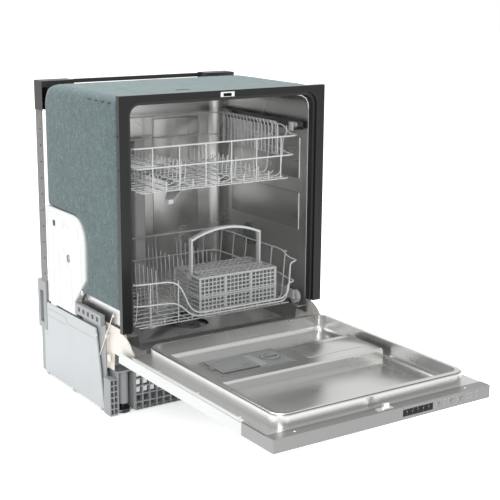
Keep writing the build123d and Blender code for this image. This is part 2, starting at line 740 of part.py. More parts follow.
def basket_handle():
    """The arched carrying handle, pivoted at both ends of the basket."""
    x0, x1 = HANDLE_X
    mid = (x0 + x1) / 2
    t = 6
    arms = block((x0, x0 + 4), (HANDLE_Y - 7, HANDLE_Y + 7), (HANDLE_PIVOT_Z - 6, 424))
    arms += block((x1 - 4, x1), (HANDLE_Y - 7, HANDLE_Y + 7), (HANDLE_PIVOT_Z - 6, 424))
    top = ThreePointArc((x0, 422), (mid, HANDLE_TOP), (x1, 422))
    under = ThreePointArc((x1, 422 - t), (mid, HANDLE_TOP - t), (x0, 422 - t))
    sides = Polyline((x1, 422), (x1, 422 - t)) + Polyline((x0, 422 - t), (x0, 422))
    bow = upright_plate(make_face(top + under + sides), HANDLE_Y - 7, HANDLE_Y + 7)
    pins = across(BASKET_X[0] + 0.5, x0 + 1, HANDLE_Y, HANDLE_PIVOT_Z, 2.5)
    pins += across(x1 - 1, BASKET_X[1] - 0.5, HANDLE_Y, HANDLE_PIVOT_Z, 2.5)
    return arms + bow + pins


def basket_lid():
    """The perforated lid that keeps cutlery apart."""
    x = (BASKET_X[0] + 0.5, BASKET_X[1] - 0.5)
    y = (BASKET_Y[0], BASKET_Y[1])
    top = BASKET_Z[1] + 0.5
    lid = block(x, y, (top - 3, top))
    holes = []
    for i in range(13):
        for j in range(7):
            if j == 3:
                continue
            cx = x[0] + 15 + 17.1 * i
            cy = y[0] + 12 + 18 * j
            holes.append(block((cx - 5.5, cx + 5.5), (cy - 5.5, cy + 5.5), (top - 5, top + 1)))
    slots = []
    for arm in (HANDLE_X[0], HANDLE_X[1] - 4):
        slots.append(block((arm - 2.5, arm + 6.5), (HANDLE_Y - 40, HANDLE_Y + 40), (top - 6, top + 2)))
    return lid - holes - slots


def upper_rack():
    """The upper rack: rims, uprights, base wires, cup tines and roller brackets."""
    side_ys = [92 + 64 * i for i in range(5)]
    front_xs = [-190 + 76 * i for i in range(6)]
    wires = rack_wires(
        UPPER_BASE_HALF, UPPER_BASE_Z, UPPER_MID_Z, UPPER_RIM_HALF, UPPER_RIM_Z, UPPER_FRONT_Z,
        side_ys, front_xs,
    )
    for i in range(7):
        y = min(RACK_FRONT + RIM_WIRE + 67 * i, RACK_REAR - RIM_WIRE)
        wires.append(across(-UPPER_BASE_HALF, UPPER_BASE_HALF, y, UPPER_BASE_Z, WIRE))
    for x in (-UPPER_BASE_HALF, -75, 75, UPPER_BASE_HALF):
        wires.append(rod((x, RACK_FRONT + 2, UPPER_BASE_Z), (x, RACK_REAR - 2, UPPER_BASE_Z), WIRE))
    for x in (-75, 75):
        for i in range(9):
            y = 90 + 40 * i
            wires.append(rod((x, y, UPPER_BASE_Z), (x, y - 6, UPPER_BASE_Z + 62), WIRE))
    for y in ROLLER_YS:
        bracket = block((UPPER_RIM_HALF - 1, UPPER_RIM_HALF + 4), (y - 8, y + 8), (RAIL_Z - 14, RAIL_Z + 7))
        axle = across(UPPER_RIM_HALF + 3, 262, y, RAIL_Z, AXLE_R)
        wires += both_sides(bracket + axle)
    return wires


def rack_rollers(y):
    """The left and right rollers on one axle line of the upper rack."""
    roller = across(-262.4, -254.4, y, RAIL_Z, ROLLER_R) - across(-270, -250, y, RAIL_Z, AXLE_R + 0.05)
    return both_sides(roller)


def upper_arm_feed():
    """The duct under the upper rack that carries water to the upper arm."""
    duct = block((-12, 12), (ARM_Y - 14, 448), (UPPER_FEED_Z - 7, UPPER_FEED_Z + 7))
    bell = disc(0, ARM_Y, UPPER_ARM_Z + 16.6, UPPER_FEED_Z + 7, 20)
    pin = disc(0, ARM_Y, UPPER_ARM_Z + 2, UPPER_FEED_Z, UPPER_PIN_R)
    bore = rod((0, ARM_Y, UPPER_FEED_Z), (0, 449, UPPER_FEED_Z), 5)
    return duct + bell + pin - bore


def upper_spray_arm():
    """The arm that hangs under the upper rack."""
    z = UPPER_ARM_Z
    arm = spray_arm(z, UPPER_ARM_R, UPPER_PIN_R + 0.05, (z + 1, z + 17), False)
    return Pos(0, ARM_Y, 0) * Rot(0, 0, 54) * arm


def cup_shelf(folded_up):
    """A hinged wire cup shelf on the right side of the upper rack, flat or folded up."""
    wires = [rod((SHELF_X, SHELF_Y[0], SHELF_Z), (SHELF_X, SHELF_Y[1], SHELF_Z), 2)]
    x1, z1 = (SHELF_X, SHELF_Z + SHELF_REACH) if folded_up else (SHELF_X - SHELF_REACH, SHELF_Z)
    wires.append(rod((x1, SHELF_Y[0], z1), (x1, SHELF_Y[1], z1), 2))
    for i in range(9):
        y = SHELF_Y[0] + 4 + (SHELF_Y[1] - SHELF_Y[0] - 8) * i / 8
        wires.append(rod((SHELF_X, y, SHELF_Z), (x1, y, z1), WIRE))
    return wires


# ---------------------------------------------------------------- door
def outer_panel():
    """The painted outer sheet of the door, with its turned-up sides."""
    skin = block((-HALF, HALF), (PANEL_SPLIT, DOOR_TAIL), (DOOR_OUT, DOOR_OUT + 1))
    side = block((-HALF, -HALF + 1), (PANEL_SPLIT, DOOR_TAIL), (DOOR_OUT, DOOR_IN - 3))
    panel = skin + both_sides(side)
    for x in (-DECOR_X, DECOR_X):
        for y in DECOR_YS:
            panel -= disc(x, y, DOOR_OUT - 1, DOOR_OUT + 3, DECOR_HOLE_R)
    return panel


def inner_liner():
    """The drawn stainless inner door: flange, raised rim, pan and cross ridge."""
    t = 1.2
    flange = block((-HALF + 3, HALF - 3), (RIM_FRONT - 8, RIM_REAR + 18), (DOOR_IN - t, DOOR_IN))
    outer = flat_pan(RIM_HALF, RIM_FRONT, RIM_REAR, DOOR_IN - t, RIM_Z, 34)
    outer = fillet(outer.faces().sort_by(Axis.Z)[-1].edges(), 6)
    under = flat_pan(RIM_HALF - t, RIM_FRONT + t, RIM_REAR - t, DOOR_IN - 5, RIM_Z - t, 33)
    inner_half = RIM_HALF - RIM_WIDTH
    pan_cut = flat_pan(inner_half, RIM_FRONT + RIM_WIDTH, RIM_REAR - RIM_WIDTH, PAN_Z, RIM_Z + 5, 24)
    pan_cut = fillet(pan_cut.faces().sort_by(Axis.Z)[0].edges(), PAN_FILLET)
    pan_skin = flat_pan(inner_half + t, RIM_FRONT + RIM_WIDTH - t, RIM_REAR - RIM_WIDTH + t, PAN_Z - t, RIM_Z, 25)
    pan_skin = fillet(pan_skin.faces().sort_by(Axis.Z)[0].edges(), PAN_FILLET + t)
    liner = flange + (outer - under) + (pan_skin - pan_cut)
    liner -= pan_cut
    ridge = block((-inner_half + 14, inner_half - 14), (RIDGE_FRONT, RIDGE_REAR + 40), (PAN_Z - t, RIDGE_Z))
    ridge = chamfer(ridge.edges().filter_by(Axis.X).group_by(Axis.Z)[-1], 5)
    hollow = block((-inner_half + 16, inner_half - 16), (RIDGE_FRONT + t, RIDGE_REAR + 40 - t), (PAN_Z - 9, RIDGE_Z - t))
    hollow = chamfer(hollow.edges().filter_by(Axis.X).group_by(Axis.Z)[-1], 5)
    liner = liner + ridge - hollow
    well = block(
        (DISPENSER_X[0] + 3, DISPENSER_X[1] - 3), (DISPENSER_Y[0] + 3, DISPENSER_Y[1] - 3),
        (DOOR_OUT + 2, RIM_Z),
    )
    return liner - well


def control_panel():
    """The moulded control panel along the door's top edge, hollow behind its face."""
    z0, z1 = DOOR_OUT, DOOR_IN - 1.4
    panel = block((-HALF, HALF), (DOOR_EDGE, PANEL_SPLIT), (z0, z1))
    panel -= block((-HALF + 2.5, HALF - 2.5), (DOOR_EDGE + 3, PANEL_SPLIT + 1), (z0 + 2.5, z1 + 2))
    front = block((-HALF, HALF), (DOOR_EDGE, RIM_FRONT - 8.4), (z1 - 1, DOOR_IN))
    panel += front
    panel -= block(WINDOW_X, (DOOR_EDGE - 1, DOOR_EDGE + 1.6), WINDOW_Z)
    for x in KEY_XS:
        panel -= rod((x, DOOR_EDGE - 1, PANEL_Z), (x, DOOR_EDGE + 4, PANEL_Z), KEY_R + 0.4)
    return panel


def display_window():
    """The dark display window set into the control panel."""
    return block(
        (WINDOW_X[0] + 0.2, WINDOW_X[1] - 0.2), (DOOR_EDGE, DOOR_EDGE + 1.6),
        (WINDOW_Z[0] + 0.2, WINDOW_Z[1] - 0.2),
    )


def key(x):
    """A small round key that presses into the panel."""
    cap = rod((x, DOOR_EDGE - 0.8, PANEL_Z), (x, DOOR_EDGE + 6, PANEL_Z), KEY_R)
    return cap + rod((x, DOOR_EDGE + 4, PANEL_Z), (x, DOOR_EDGE + 6, PANEL_Z), KEY_R + 2)


def door_latch():
    """The latch hook that enters the strike plate."""
    hook = block((-7, 7), LATCH_Y, (DOOR_IN, DOOR_IN + 14))
    base = block((-20, 20), (LATCH_Y[0] - 1, LATCH_Y[1] + 8), (DOOR_IN, DOOR_IN + 1.5))
    return hook + base


def dispenser_body():
    """The dispenser's moulded body with the powder cup and the rinse-aid neck."""
    x, y = DISPENSER_X, DISPENSER_Y
    body = block(x, y, (RIDGE_Z, DISPENSER_Z - 3))
    body += block((x[0] + 4, x[1] - 4), (y[0] + 4, y[1] - 4), (DOOR_OUT + 3, RIDGE_Z))
    body -= block(CUP_X, CUP_Y, (CUP_Z, 300))
    body -= disc(CAP_X, CAP_Y, RIDGE_Z - 14, 300, CAP_R + 0.5)
    body -= block((x[0] - 1, CUP_X[0] - 1.2), LATCH_SLOT_Y, (RIDGE_Z + 0.2, 300))
    return body


def dispenser_lid():
    """The powder cup's flap, hinged along its edge nearest the tub."""
    lid = block((CUP_X[0] - 3, CUP_X[1] + 3), (CUP_Y[0] - 3, CUP_Y[1] + 4), (DISPENSER_Z - 2.7, DISPENSER_Z + 1.3))
    barrel = across(CUP_X[0], CUP_X[1], LID_PIN[0], LID_PIN[1], 2.4)
    return lid + barrel


def dispenser_latch():
    """The sliding catch that frees the flap."""
    y0, y1 = LATCH_SLOT_Y
    return block((DISPENSER_X[0] + 0.5, CUP_X[0] - 4), (y0 + 0.5, y1 - 0.5), (RIDGE_Z + 0.3, DISPENSER_Z + 1))


def rinse_aid_cap():
    """The quarter-turn rinse-aid cap."""
    cap = disc(CAP_X, CAP_Y, RIDGE_Z - 12, DISPENSER_Z, CAP_R)
    cap -= disc(CAP_X, CAP_Y, DISPENSER_Z - 3, DISPENSER_Z + 1, CAP_R - 4)
    return cap + block((CAP_X - 16, CAP_X + 16), (CAP_Y - 3, CAP_Y + 3), (DISPENSER_Z - 4, DISPENSER_Z + 3))


def hinge_arms():
    """The door's hinge arms: a bar inside the door and a cream sector plate at the pivot."""
    bar = side_plate([(-220, 165), (-20, 165), (-20, 186), (-220, 186)], -286.5, -284)
    curve = ThreePointArc((-29, 182), (-4, 217), (37, 231))
    edge = Polyline((37, 231), (54, 211), (48, 168), (-29, 168), (-29, 182))
    plane = Plane(origin=(-286.5, 0, 0), x_dir=(0, 1, 0), z_dir=(1, 0, 0))
    sector = extrude(plane * make_face(curve + edge), 2.5)
    arm = bar + sector - across(-290, -280, HINGE_Y, HINGE_Z, HINGE_PIN_R + 0.05)
    return both_sides(arm)


def main():
    """Writes every node."""
    os.makedirs("parts", exist_ok=True)
    save("front_frame", front_frame())
    save("door_seal", door_seal())
    save("latch_strike", latch_strike())
    save("tub_wrapper", tub_wrapper())
    save("tub_back_wall", tub_back_wall())
    save("tub_floor", tub_floor())
    save("insulation_blanket", insulation_blanket())
    save("water_reservoir", water_reservoir())
    save("rear_posts", rear_posts())
    save("rear_brackets", rear_brackets())
    save("base_tray", base_tray())
    save("side_panels", side_panels())
    save("foot_front_left", foot(-FOOT_X, FOOT_Y, 100))
    save("foot_front_right", foot(FOOT_X, FOOT_Y, 100))
    save("foot_rear", foot(0, REAR_FOOT_Y, 60))
    save("hinge_brackets", hinge_brackets())
    save("door_springs", door_springs())
    save("sump", sump())
    save("flat_filter", flat_filter())
    save("filter_cylinder", filter_cylinder())
    save("lower_spray_arm", lower_spray_arm())
    save("salt_cap", salt_cap())
    save("water_softener", water_softener())
    save("wash_pump", wash_pump())
    save("drain_pump", drain_pump())
    save("inlet_valve", inlet_valve())
    save("feed_conduit", feed_conduit())
    save("wall_vent", wall_vent())
    save("rail_guides", rail_guides())
    save("rack_rail_right", rack_rail())
    save("rack_rail_left", mirror(rack_rail(), about=Plane.YZ))

    save("lower_rack", lower_rack())
    save("wheel_carriers", wheel_carriers())
    for i, y in enumerate(WHEEL_YS):
        save(f"lower_wheels_{i + 1}", wheel_pair(y))
    save("basket_body", basket_body())
    save("basket_handle", basket_handle())
    save("basket_lid", basket_lid())

    save("upper_rack", upper_rack())
    for name, y in zip(("rack_rollers_front", "rack_rollers_rear"), ROLLER_YS):
        save(name, rack_rollers(y))
    save("upper_arm_feed", upper_arm_feed())
    save("upper_spray_arm", upper_spray_arm())
    save("cup_shelf_right", cup_shelf(True))
    save("cup_shelf_left", [mirror(s, about=Plane.YZ) for s in cup_shelf(False)])

    save("outer_panel", outer_panel())
    save("inner_liner", inner_liner())
    save("control_panel", control_panel())
    save("display_window", display_window())
    for name, x in zip(KEY_NAMES, KEY_XS):
        save(name, key(x))
    save("door_latch", door_latch())
    save("dispenser_body", dispenser_body())
    save("dispenser_lid", dispenser_lid())
    save("dispenser_latch", dispenser_latch())
    save("rinse_aid_cap", rinse_aid_cap())
    save("hinge_arms", hinge_arms())


if __name__ == "__main__":
    main()
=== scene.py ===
"""Built-in dishwasher with its door open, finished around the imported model."""

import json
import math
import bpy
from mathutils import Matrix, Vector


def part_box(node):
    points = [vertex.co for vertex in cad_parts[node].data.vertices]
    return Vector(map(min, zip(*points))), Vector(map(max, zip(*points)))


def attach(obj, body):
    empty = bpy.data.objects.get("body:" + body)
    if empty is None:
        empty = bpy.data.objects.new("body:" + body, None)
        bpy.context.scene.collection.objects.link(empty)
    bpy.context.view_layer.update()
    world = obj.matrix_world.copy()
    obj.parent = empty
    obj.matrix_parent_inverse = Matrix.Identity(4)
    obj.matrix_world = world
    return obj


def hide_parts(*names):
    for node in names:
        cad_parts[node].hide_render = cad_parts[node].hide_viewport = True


bl_info = {
    "name": "Built-in Dishwasher",
    "version": (1, 0, 0),
    "blender": (4, 5, 0),
    "location": "View3D > Sidebar > Dishwasher",
    "description": "Makes the looks of a built-in dishwasher around its packed frame",
    "category": "Add Mesh",
}

import bmesh
import bpy
from bpy.props import FloatProperty, FloatVectorProperty, IntProperty, PointerProperty
from mathutils import Matrix, Vector, noise

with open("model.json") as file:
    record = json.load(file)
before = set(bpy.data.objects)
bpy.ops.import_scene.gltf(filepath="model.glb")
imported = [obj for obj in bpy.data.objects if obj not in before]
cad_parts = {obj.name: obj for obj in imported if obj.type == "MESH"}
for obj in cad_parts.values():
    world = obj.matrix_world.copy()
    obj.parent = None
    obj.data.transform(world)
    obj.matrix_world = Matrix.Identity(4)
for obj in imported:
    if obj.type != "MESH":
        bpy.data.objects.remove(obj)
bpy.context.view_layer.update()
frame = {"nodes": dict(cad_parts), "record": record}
MM = 0.001
SHARP = math.radians(32)
FELT_SHARP = math.radians(80)
FELT_CELL = 0.0062
SAME_POINT = 0.000001
TALL_ROWS = (92, 156, 220, 284, 348, 412)


# ---------------------------------------------------------------- shader maths
class Sock:
    """A node's output, on which sums are written as in Python."""

    def __init__(self, finish, socket):
        self.finish = finish
        self.socket = socket

    def sum(self, operation, first, second):
        return self.finish.make("ShaderNodeMath", {0: first, 1: second}, operation=operation)

    def __add__(self, other):
        return self.sum("ADD", self, other)

    def __radd__(self, other):
        return self.sum("ADD", other, self)

    def __sub__(self, other):
        return self.sum("SUBTRACT", self, other)

    def __rsub__(self, other):
        return self.sum("SUBTRACT", other, self)

    def __mul__(self, other):
        return self.sum("MULTIPLY", self, other)

    def __rmul__(self, other):
        return self.sum("MULTIPLY", other, self)


class Finish:
    """A material with its shader, ready for patterns."""

    def __init__(self, name, colour, roughness, **constants):
        self.material = bpy.data.materials.new(name)
        self.material.use_nodes = True
        self.tree = self.material.node_tree
        self.tree.nodes.clear()
        self.shader = self.tree.nodes.new("ShaderNodeBsdfPrincipled")
        output = self.tree.nodes.new("ShaderNodeOutputMaterial")
        self.tree.links.new(self.shader.outputs[0], output.inputs[0])
        self.material.diffuse_color = (*colour, 1)
        self.feed("Base Color", (*colour, 1))
        self.feed("Roughness", roughness)
        for key, value in constants.items():
            self.feed(key.replace("_", " ").title().replace("Ior", "IOR"), value)

    def make(self, kind, inputs=None, out=0, stops=None, **settings):
        """Adds a node: its settings first, then the values or links of its sockets."""
        node = self.tree.nodes.new(kind)
        for key, value in settings.items():
            setattr(node, key, value)
        if stops:
            ramp = node.color_ramp
            while len(ramp.elements) < len(stops):
                ramp.elements.new(0.5)
            for element, (place, colour) in zip(ramp.elements, stops):
                element.position = place
                element.color = (*colour, 1)
        for key, value in (inputs or {}).items():
            if isinstance(value, Sock):
                self.tree.links.new(value.socket, node.inputs[key])
            else:
                node.inputs[key].default_value = value
        return Sock(self, node.outputs[out])

    def feed(self, name, value):
        """Gives a shader socket a value or a link."""
        if isinstance(value, Sock):
            self.tree.links.new(value.socket, self.shader.inputs[name])
        else:
            self.shader.inputs[name].default_value = value

    def place(self, stretch=(1, 1, 1)):
        """Object coordinates, stretched along the axes."""
        where = self.make("ShaderNodeTexCoord", out="Object")
        return self.make("ShaderNodeMapping", {"Vector": where, "Scale": stretch})

    def grain(self, scale, detail=3.0, stretch=(1, 1, 1)):
        """Noise from 0 to 1 over the surface."""
        inputs = {"Vector": self.place(stretch), "Scale": scale, "Detail": detail}
        return self.make("ShaderNodeTexNoise", inputs, out="Fac")

    def ramp(self, factor, *stops):
        """A colour for each value of the factor."""
        return self.make("ShaderNodeValToRGB", {"Fac": factor}, stops=stops)

    def blend(self, factor, first, second):
        """Mixes two colours."""
        inputs = {0: factor, 6: first, 7: second}
        return self.make("ShaderNodeMix", inputs, out=2, data_type="RGBA")

    def bump(self, height, depth, strength=1.0):
        """Raises the surface by a height pattern."""
        inputs = {"Height": height, "Distance": depth, "Strength": strength}
        self.feed("Normal", self.make("ShaderNodeBump", inputs))


def shade(colour, factor):
    """A colour made lighter or darker."""
    return tuple(min(1.0, c * factor) for c in colour)


# ---------------------------------------------------------------- finishes
def steel_finish(name, colour, roughness, stretch, depth=0.000005):
    """Drawn or brushed steel, with its grain along one axis and cloudy gloss."""
    f = Finish(name, colour, roughness, metallic=0.94)
    lines = f.grain(9.0, 4.0, stretch)
    clouds = f.grain(7.0, 2.0)
    low, high = (*shade(colour, 0.97), 1), (*shade(colour, 1.03), 1)
    f.feed("Base Color", f.blend(clouds, low, high))
    f.feed("Roughness", clouds * 0.03 + lines * 0.02 + (roughness - 0.025))
    if depth:
        f.bump(lines, depth)
    return f.material


def moulded_finish(name, colour, roughness, scale=900.0, depth=0.00006, coat=0.0):
    """Moulded plastic with a fine spark texture and slight unevenness."""
    f = Finish(name, colour, roughness, coat_weight=coat, coat_roughness=0.15)
    spark = f.grain(scale, 2.0)
    clouds = f.grain(14.0, 3.0)
    f.feed("Base Color", f.blend(clouds, (*shade(colour, 0.93), 1), (*shade(colour, 1.05), 1)))
    f.feed("Roughness", spark * 0.12 + clouds * 0.08 + (roughness - 0.1))
    f.bump(spark, depth)
    return f.material


def enamel_finish(name, colour, roughness, coat, shine=0.5):
    """Paint over sheet metal, with the faint orange peel of a sprayed coat."""
    f = Finish(name, colour, roughness, coat_weight=coat, coat_roughness=0.06, specular_ior_level=shine)
    peel = f.grain(260.0, 2.0)
    clouds = f.grain(9.0, 2.0)
    f.feed("Base Color", f.blend(clouds, (*shade(colour, 0.95), 1), (*shade(colour, 1.04), 1)))
    f.feed("Roughness", clouds * 0.08 + (roughness - 0.04))
    f.bump(peel, 0.00004)
    return f.material


def felt_finish(name, colour):
    """Recycled felt: matted fibres with light and dark flecks."""
    f = Finish(name, colour, 0.95, sheen_weight=0.25, sheen_roughness=0.5, specular_ior_level=0.2)
    fibres = f.grain(420.0, 5.0)
    clumps = f.grain(60.0, 4.0)
    where = f.place((1, 1, 0.55))
    cells = f.make("ShaderNodeTexVoronoi", {"Vector": where, "Scale": 480.0}, out="Color")
    pick = f.make("ShaderNodeSeparateColor", {"Color": cells})
    tones = ((0.3, shade(colour, 0.62)), (0.5, colour), (0.7, shade(colour, 1.42)))
    base = f.ramp(fibres * 0.6 + clumps * 0.4, *tones)
    light = f.ramp(pick, (0.955, (0, 0, 0)), (0.97, (1, 1, 1)))
    dark = f.ramp(pick, (0.04, (1, 1, 1)), (0.06, (0, 0, 0)))
    flecked = f.blend(light, base, (*shade(colour, 2.1), 1))
    f.feed("Base Color", f.blend(dark, flecked, (*shade(colour, 0.35), 1)))
    f.bump(fibres * 0.5 + clumps, 0.0012)
    return f.material


def spangled_finish(name, colour):
    """Galvanised sheet with its crystal spangle."""
    f = Finish(name, colour, 0.42, metallic=0.9)
    cells = f.make("ShaderNodeTexVoronoi", {"Vector": f.place(), "Scale": 130.0}, out="Color")
    tone = f.make("ShaderNodeSeparateColor", {"Color": cells})
    f.feed("Base Color", f.blend(tone, (*shade(colour, 0.7), 1), (*shade(colour, 1.3), 1)))
    f.feed("Roughness", tone * 0.25 + 0.3)
    f.bump(tone, 0.00002)
    return f.material


def milky_finish(name, colour):
    """Translucent white moulding with flow marks."""
    f = Finish(name, colour, 0.4, subsurface_weight=0.04, coat_weight=0.1)
    flow = f.grain(11.0, 3.0, (1, 1, 0.3))
    f.feed("Base Color", f.blend(flow, (*shade(colour, 0.9), 1), (*shade(colour, 1.06), 1)))
    f.bump(flow, 0.0006)
    return f.material


def finish_table(look):
    """Every finish by the name of its slot."""
    steel = tuple(look.steel)
    grey = tuple(look.grey_moulding)
    wire = tuple(look.wire_coating)
    return {
        "black_enamel": enamel_finish("Black_Enamel", (0.009, 0.0105, 0.0098), 0.24, 0.06, 0.22),
        "seal_rubber": moulded_finish("Seal_Rubber", (0.012, 0.012, 0.012), 0.6, 500.0),
        "bright_steel": steel_finish("Bright_Steel", (0.8, 0.8, 0.79), 0.28, (6, 2, 2), 0),
        "tub_steel": steel_finish("Tub_Steel", steel, 0.28, (2, 2, 6), 0),
        "felt": felt_finish("Recycled_Felt", tuple(look.felt)),
        "white_moulding": milky_finish("Milky_Moulding", (0.58, 0.58, 0.57)),
        "galvanised": spangled_finish("Galvanised", (0.17, 0.17, 0.165)),
        "black_moulding": moulded_finish("Black_Moulding", (0.009, 0.009, 0.01), 0.48),
        "base_moulding": moulded_finish("Base_Moulding", (0.24, 0.25, 0.255), 0.5),
        "side_cover": moulded_finish("Side_Cover", (0.36, 0.38, 0.39), 0.4, 1100.0, 0.00004),
        "foot_moulding": moulded_finish("Foot_Moulding", (0.02, 0.02, 0.02), 0.55),
        "cream_paint": enamel_finish("Cream_Paint", (0.56, 0.53, 0.48), 0.36, 0.2),
        "spring_steel": steel_finish("Spring_Steel", (0.42, 0.42, 0.42), 0.34, (1, 90, 1)),
        "dark_moulding": moulded_finish("Dark_Moulding", (0.03, 0.03, 0.031), 0.5),
        "mesh_steel": steel_finish("Mesh_Steel", (0.5, 0.5, 0.49), 0.32, (30, 30, 1)),
        "filter_moulding": moulded_finish("Filter_Moulding", (0.16, 0.165, 0.17), 0.45),
        "arm_moulding": moulded_finish("Arm_Moulding", (0.5, 0.51, 0.52), 0.4),
        "motor_paint": enamel_finish("Motor_Paint", (0.09, 0.09, 0.1), 0.45, 0.1),
        "valve_moulding": moulded_finish("Valve_Moulding", (0.7, 0.7, 0.67), 0.42),
        "duct_moulding": moulded_finish("Duct_Moulding", (0.5, 0.5, 0.5), 0.42),
        "rack_coating": enamel_finish("Rack_Coating", wire, 0.33, 0.35),
        "rail_steel": steel_finish("Rail_Steel", (0.2, 0.2, 0.2), 0.36, (2, 30, 2)),
        "guide_moulding": moulded_finish("Guide_Moulding", (0.05, 0.05, 0.052), 0.46),
        "wheel_moulding": moulded_finish("Wheel_Moulding", grey, 0.44),
        "basket_moulding": moulded_finish("Basket_Moulding", grey, 0.42),
        "handle_moulding": moulded_finish("Handle_Moulding", (0.55, 0.56, 0.56), 0.34, 1200.0, 0.00003, 0.3),
        "door_paint": enamel_finish("Door_Paint", (0.47, 0.485, 0.48), 0.3, 0.3),
        "panel_silver": silver_finish(tuple(look.panel_silver)),
        "window_black": enamel_finish("Window_Black", (0.002, 0.002, 0.0025), 0.14, 0.05, 0.16),
        "key_silver": silver_finish(tuple(look.panel_silver), "Key_Silver"),
        "dispenser_moulding": moulded_finish("Dispenser_Moulding", (0.15, 0.155, 0.153), 0.42),
        "cap_moulding": moulded_finish("Cap_Moulding", (0.2, 0.205, 0.203), 0.42),
    }


def silver_finish(colour, name="Panel_Silver"):
    """Silver lacquer with a fine brushed line along the panel."""
    f = Finish(name, colour, 0.36, metallic=0.75, coat_weight=0.25, coat_roughness=0.2)
    lines = f.grain(30.0, 4.0, (1, 40, 60))
    f.feed("Base Color", f.blend(lines, (*shade(colour, 0.86), 1), (*shade(colour, 1.14), 1)))
    f.feed("Roughness", lines * 0.14 + 0.28)
    f.bump(lines, 0.00002)
    return f.material


FINISHES = {}


def finish_of(slot):
    """The material of a slot, made once."""
    if not FINISHES:
        FINISHES.update(finish_table(bpy.context.scene.dishwasher))
    return FINISHES[slot]


# ---------------------------------------------------------------- mesh helpers
def smoothed(mesh, angle=SHARP):
    """Smooth shading that keeps the sharp edges."""
    for face in mesh.polygons:
        face.use_smooth = True
    mesh.set_sharp_from_angle(angle=angle)


def add_piece(name, bm, body, slot, replaces=(), finish=None):
    """Makes a bmesh a piece of the machine that rides on a body."""
    bmesh.ops.recalc_face_normals(bm, faces=bm.faces)
    mesh = bpy.data.meshes.new(name)
    bm.to_mesh(mesh)
    bm.free()
    smoothed(mesh)
    mesh.materials.append(finish or finish_of(slot))
    piece = bpy.data.objects.new(name, mesh)
    bpy.context.scene.collection.objects.link(piece)
    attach(piece, body)
    if replaces:
        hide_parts(*replaces)
    return piece


def add_bar(bm, low, high, bevel=0.0, segments=2):
    """A box between two corners in millimetres, with rounded edges."""
    a, b = Vector(low) * MM, Vector(high) * MM
    size = b - a
    place = Matrix.Translation((a + b) / 2) @ Matrix.Diagonal((*size, 1))
    made = bmesh.ops.create_cube(bm, size=1, matrix=place)
    if bevel:
        edges = list({e for v in made["verts"] for e in v.link_edges})
        bmesh.ops.bevel(
            bm, geom=edges, offset=bevel * MM, segments=segments, affect="EDGES", profile=0.5, material=-1
        )


def add_peg(bm, start, end, radius, sides=20, tip=None, bevel=0.0):
    """A round bar or cone from one point to another, in millimetres."""
    a, b = Vector(start) * MM, Vector(end) * MM
    turn = (b - a).to_track_quat("Z", "Y").to_matrix().to_4x4()
    place = Matrix.Translation((a + b) / 2) @ turn
    made = bmesh.ops.create_cone(
        bm, cap_ends=True, segments=sides, radius1=radius * MM,
        radius2=(radius if tip is None else tip) * MM, depth=(b - a).length, matrix=place,
    )
    if bevel:
        edges = {e for v in made["verts"] for e in v.link_edges}
        rims = [e for e in edges if any(len(f.verts) > 4 for f in e.link_faces)]
        bmesh.ops.bevel(bm, geom=rims, offset=bevel * MM, segments=2, affect="EDGES", profile=0.5, material=-1)


def add_mesh_plate(bm, centre, across, up, cells, rib, thick):
    """A perforated plate: a grid of ribs about a centre, spanned by two vectors, in millimetres."""
    u, v = Vector(across) * MM, Vector(up) * MM
    normal = u.cross(v).normalized()
    place = Matrix.Identity(4)
    for i, column in enumerate((u, v, normal, Vector(centre) * MM)):
        for row in range(3):
            place[row][i] = column[row]
    made = bmesh.ops.create_grid(bm, x_segments=cells[0], y_segments=cells[1], size=0.5, matrix=place)
    faces = list({f for p in made["verts"] for f in p.link_faces})
    bmesh.ops.inset_individual(bm, faces=faces, thickness=rib * MM / 2, use_even_offset=True)
    verts = made["verts"]
    bmesh.ops.delete(bm, geom=faces, context="FACES")
    left = list({f for p in verts if p.is_valid for f in p.link_faces})
    bmesh.ops.solidify(bm, geom=left, thickness=thick * MM)


def bent(points, radius, closed=False):
    """The points of a wire with its corners bent round, in millimetres."""
    pts = [Vector(p) for p in points]
    count = len(pts)
    out = []
    for i, corner in enumerate(pts):
        if not closed and i in (0, count - 1):
            out.append(corner)
            continue
        before, after = pts[i - 1] - corner, pts[(i + 1) % count] - corner
        reach = min(radius, before.length * 0.45, after.length * 0.45)
        a, b = corner + before.normalized() * reach, corner + after.normalized() * reach
        for step in range(5):
            t = step / 4
            out.append(a * (1 - t) ** 2 + corner * 2 * t * (1 - t) + b * t * t)
    return out


def add_wires(name, groups, body, slot, replaces=(), sides=1):
    """Bent round wires. Each group is (radius, closed, list of wires), in millimetres."""
    bm = bmesh.new()
    for radius, closed, wires in groups:
        curve = bpy.data.curves.new(name + "_line", "CURVE")
        curve.dimensions = "3D"
        curve.bevel_depth = radius * MM
        curve.bevel_resolution = sides
        curve.use_fill_caps = not closed
        for points in wires:
            spline = curve.splines.new("POLY")
            spline.points.add(len(points) - 1)
            spline.use_cyclic_u = closed
            for target, p in zip(spline.points, points):
                target.co = (*(Vector(p) * MM), 1)
        holder = bpy.data.objects.new(name + "_line", curve)
        made = bpy.data.meshes.new_from_object(holder)
        bm.from_mesh(made)
        bpy.data.objects.remove(holder)
        bpy.data.curves.remove(curve)
        bpy.data.meshes.remove(made)
    bmesh.ops.remove_doubles(bm, verts=bm.verts, dist=SAME_POINT)
    return add_piece(name, bm, body, slot, replaces)


def spread(first, last, count):
    """Evenly spaced numbers."""
    return [first + (last - first) * i / (count - 1) for i in range(count)]


def box_mm(node):
    """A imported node's box in millimetres."""
    low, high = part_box(node)
    return low / MM, high / MM


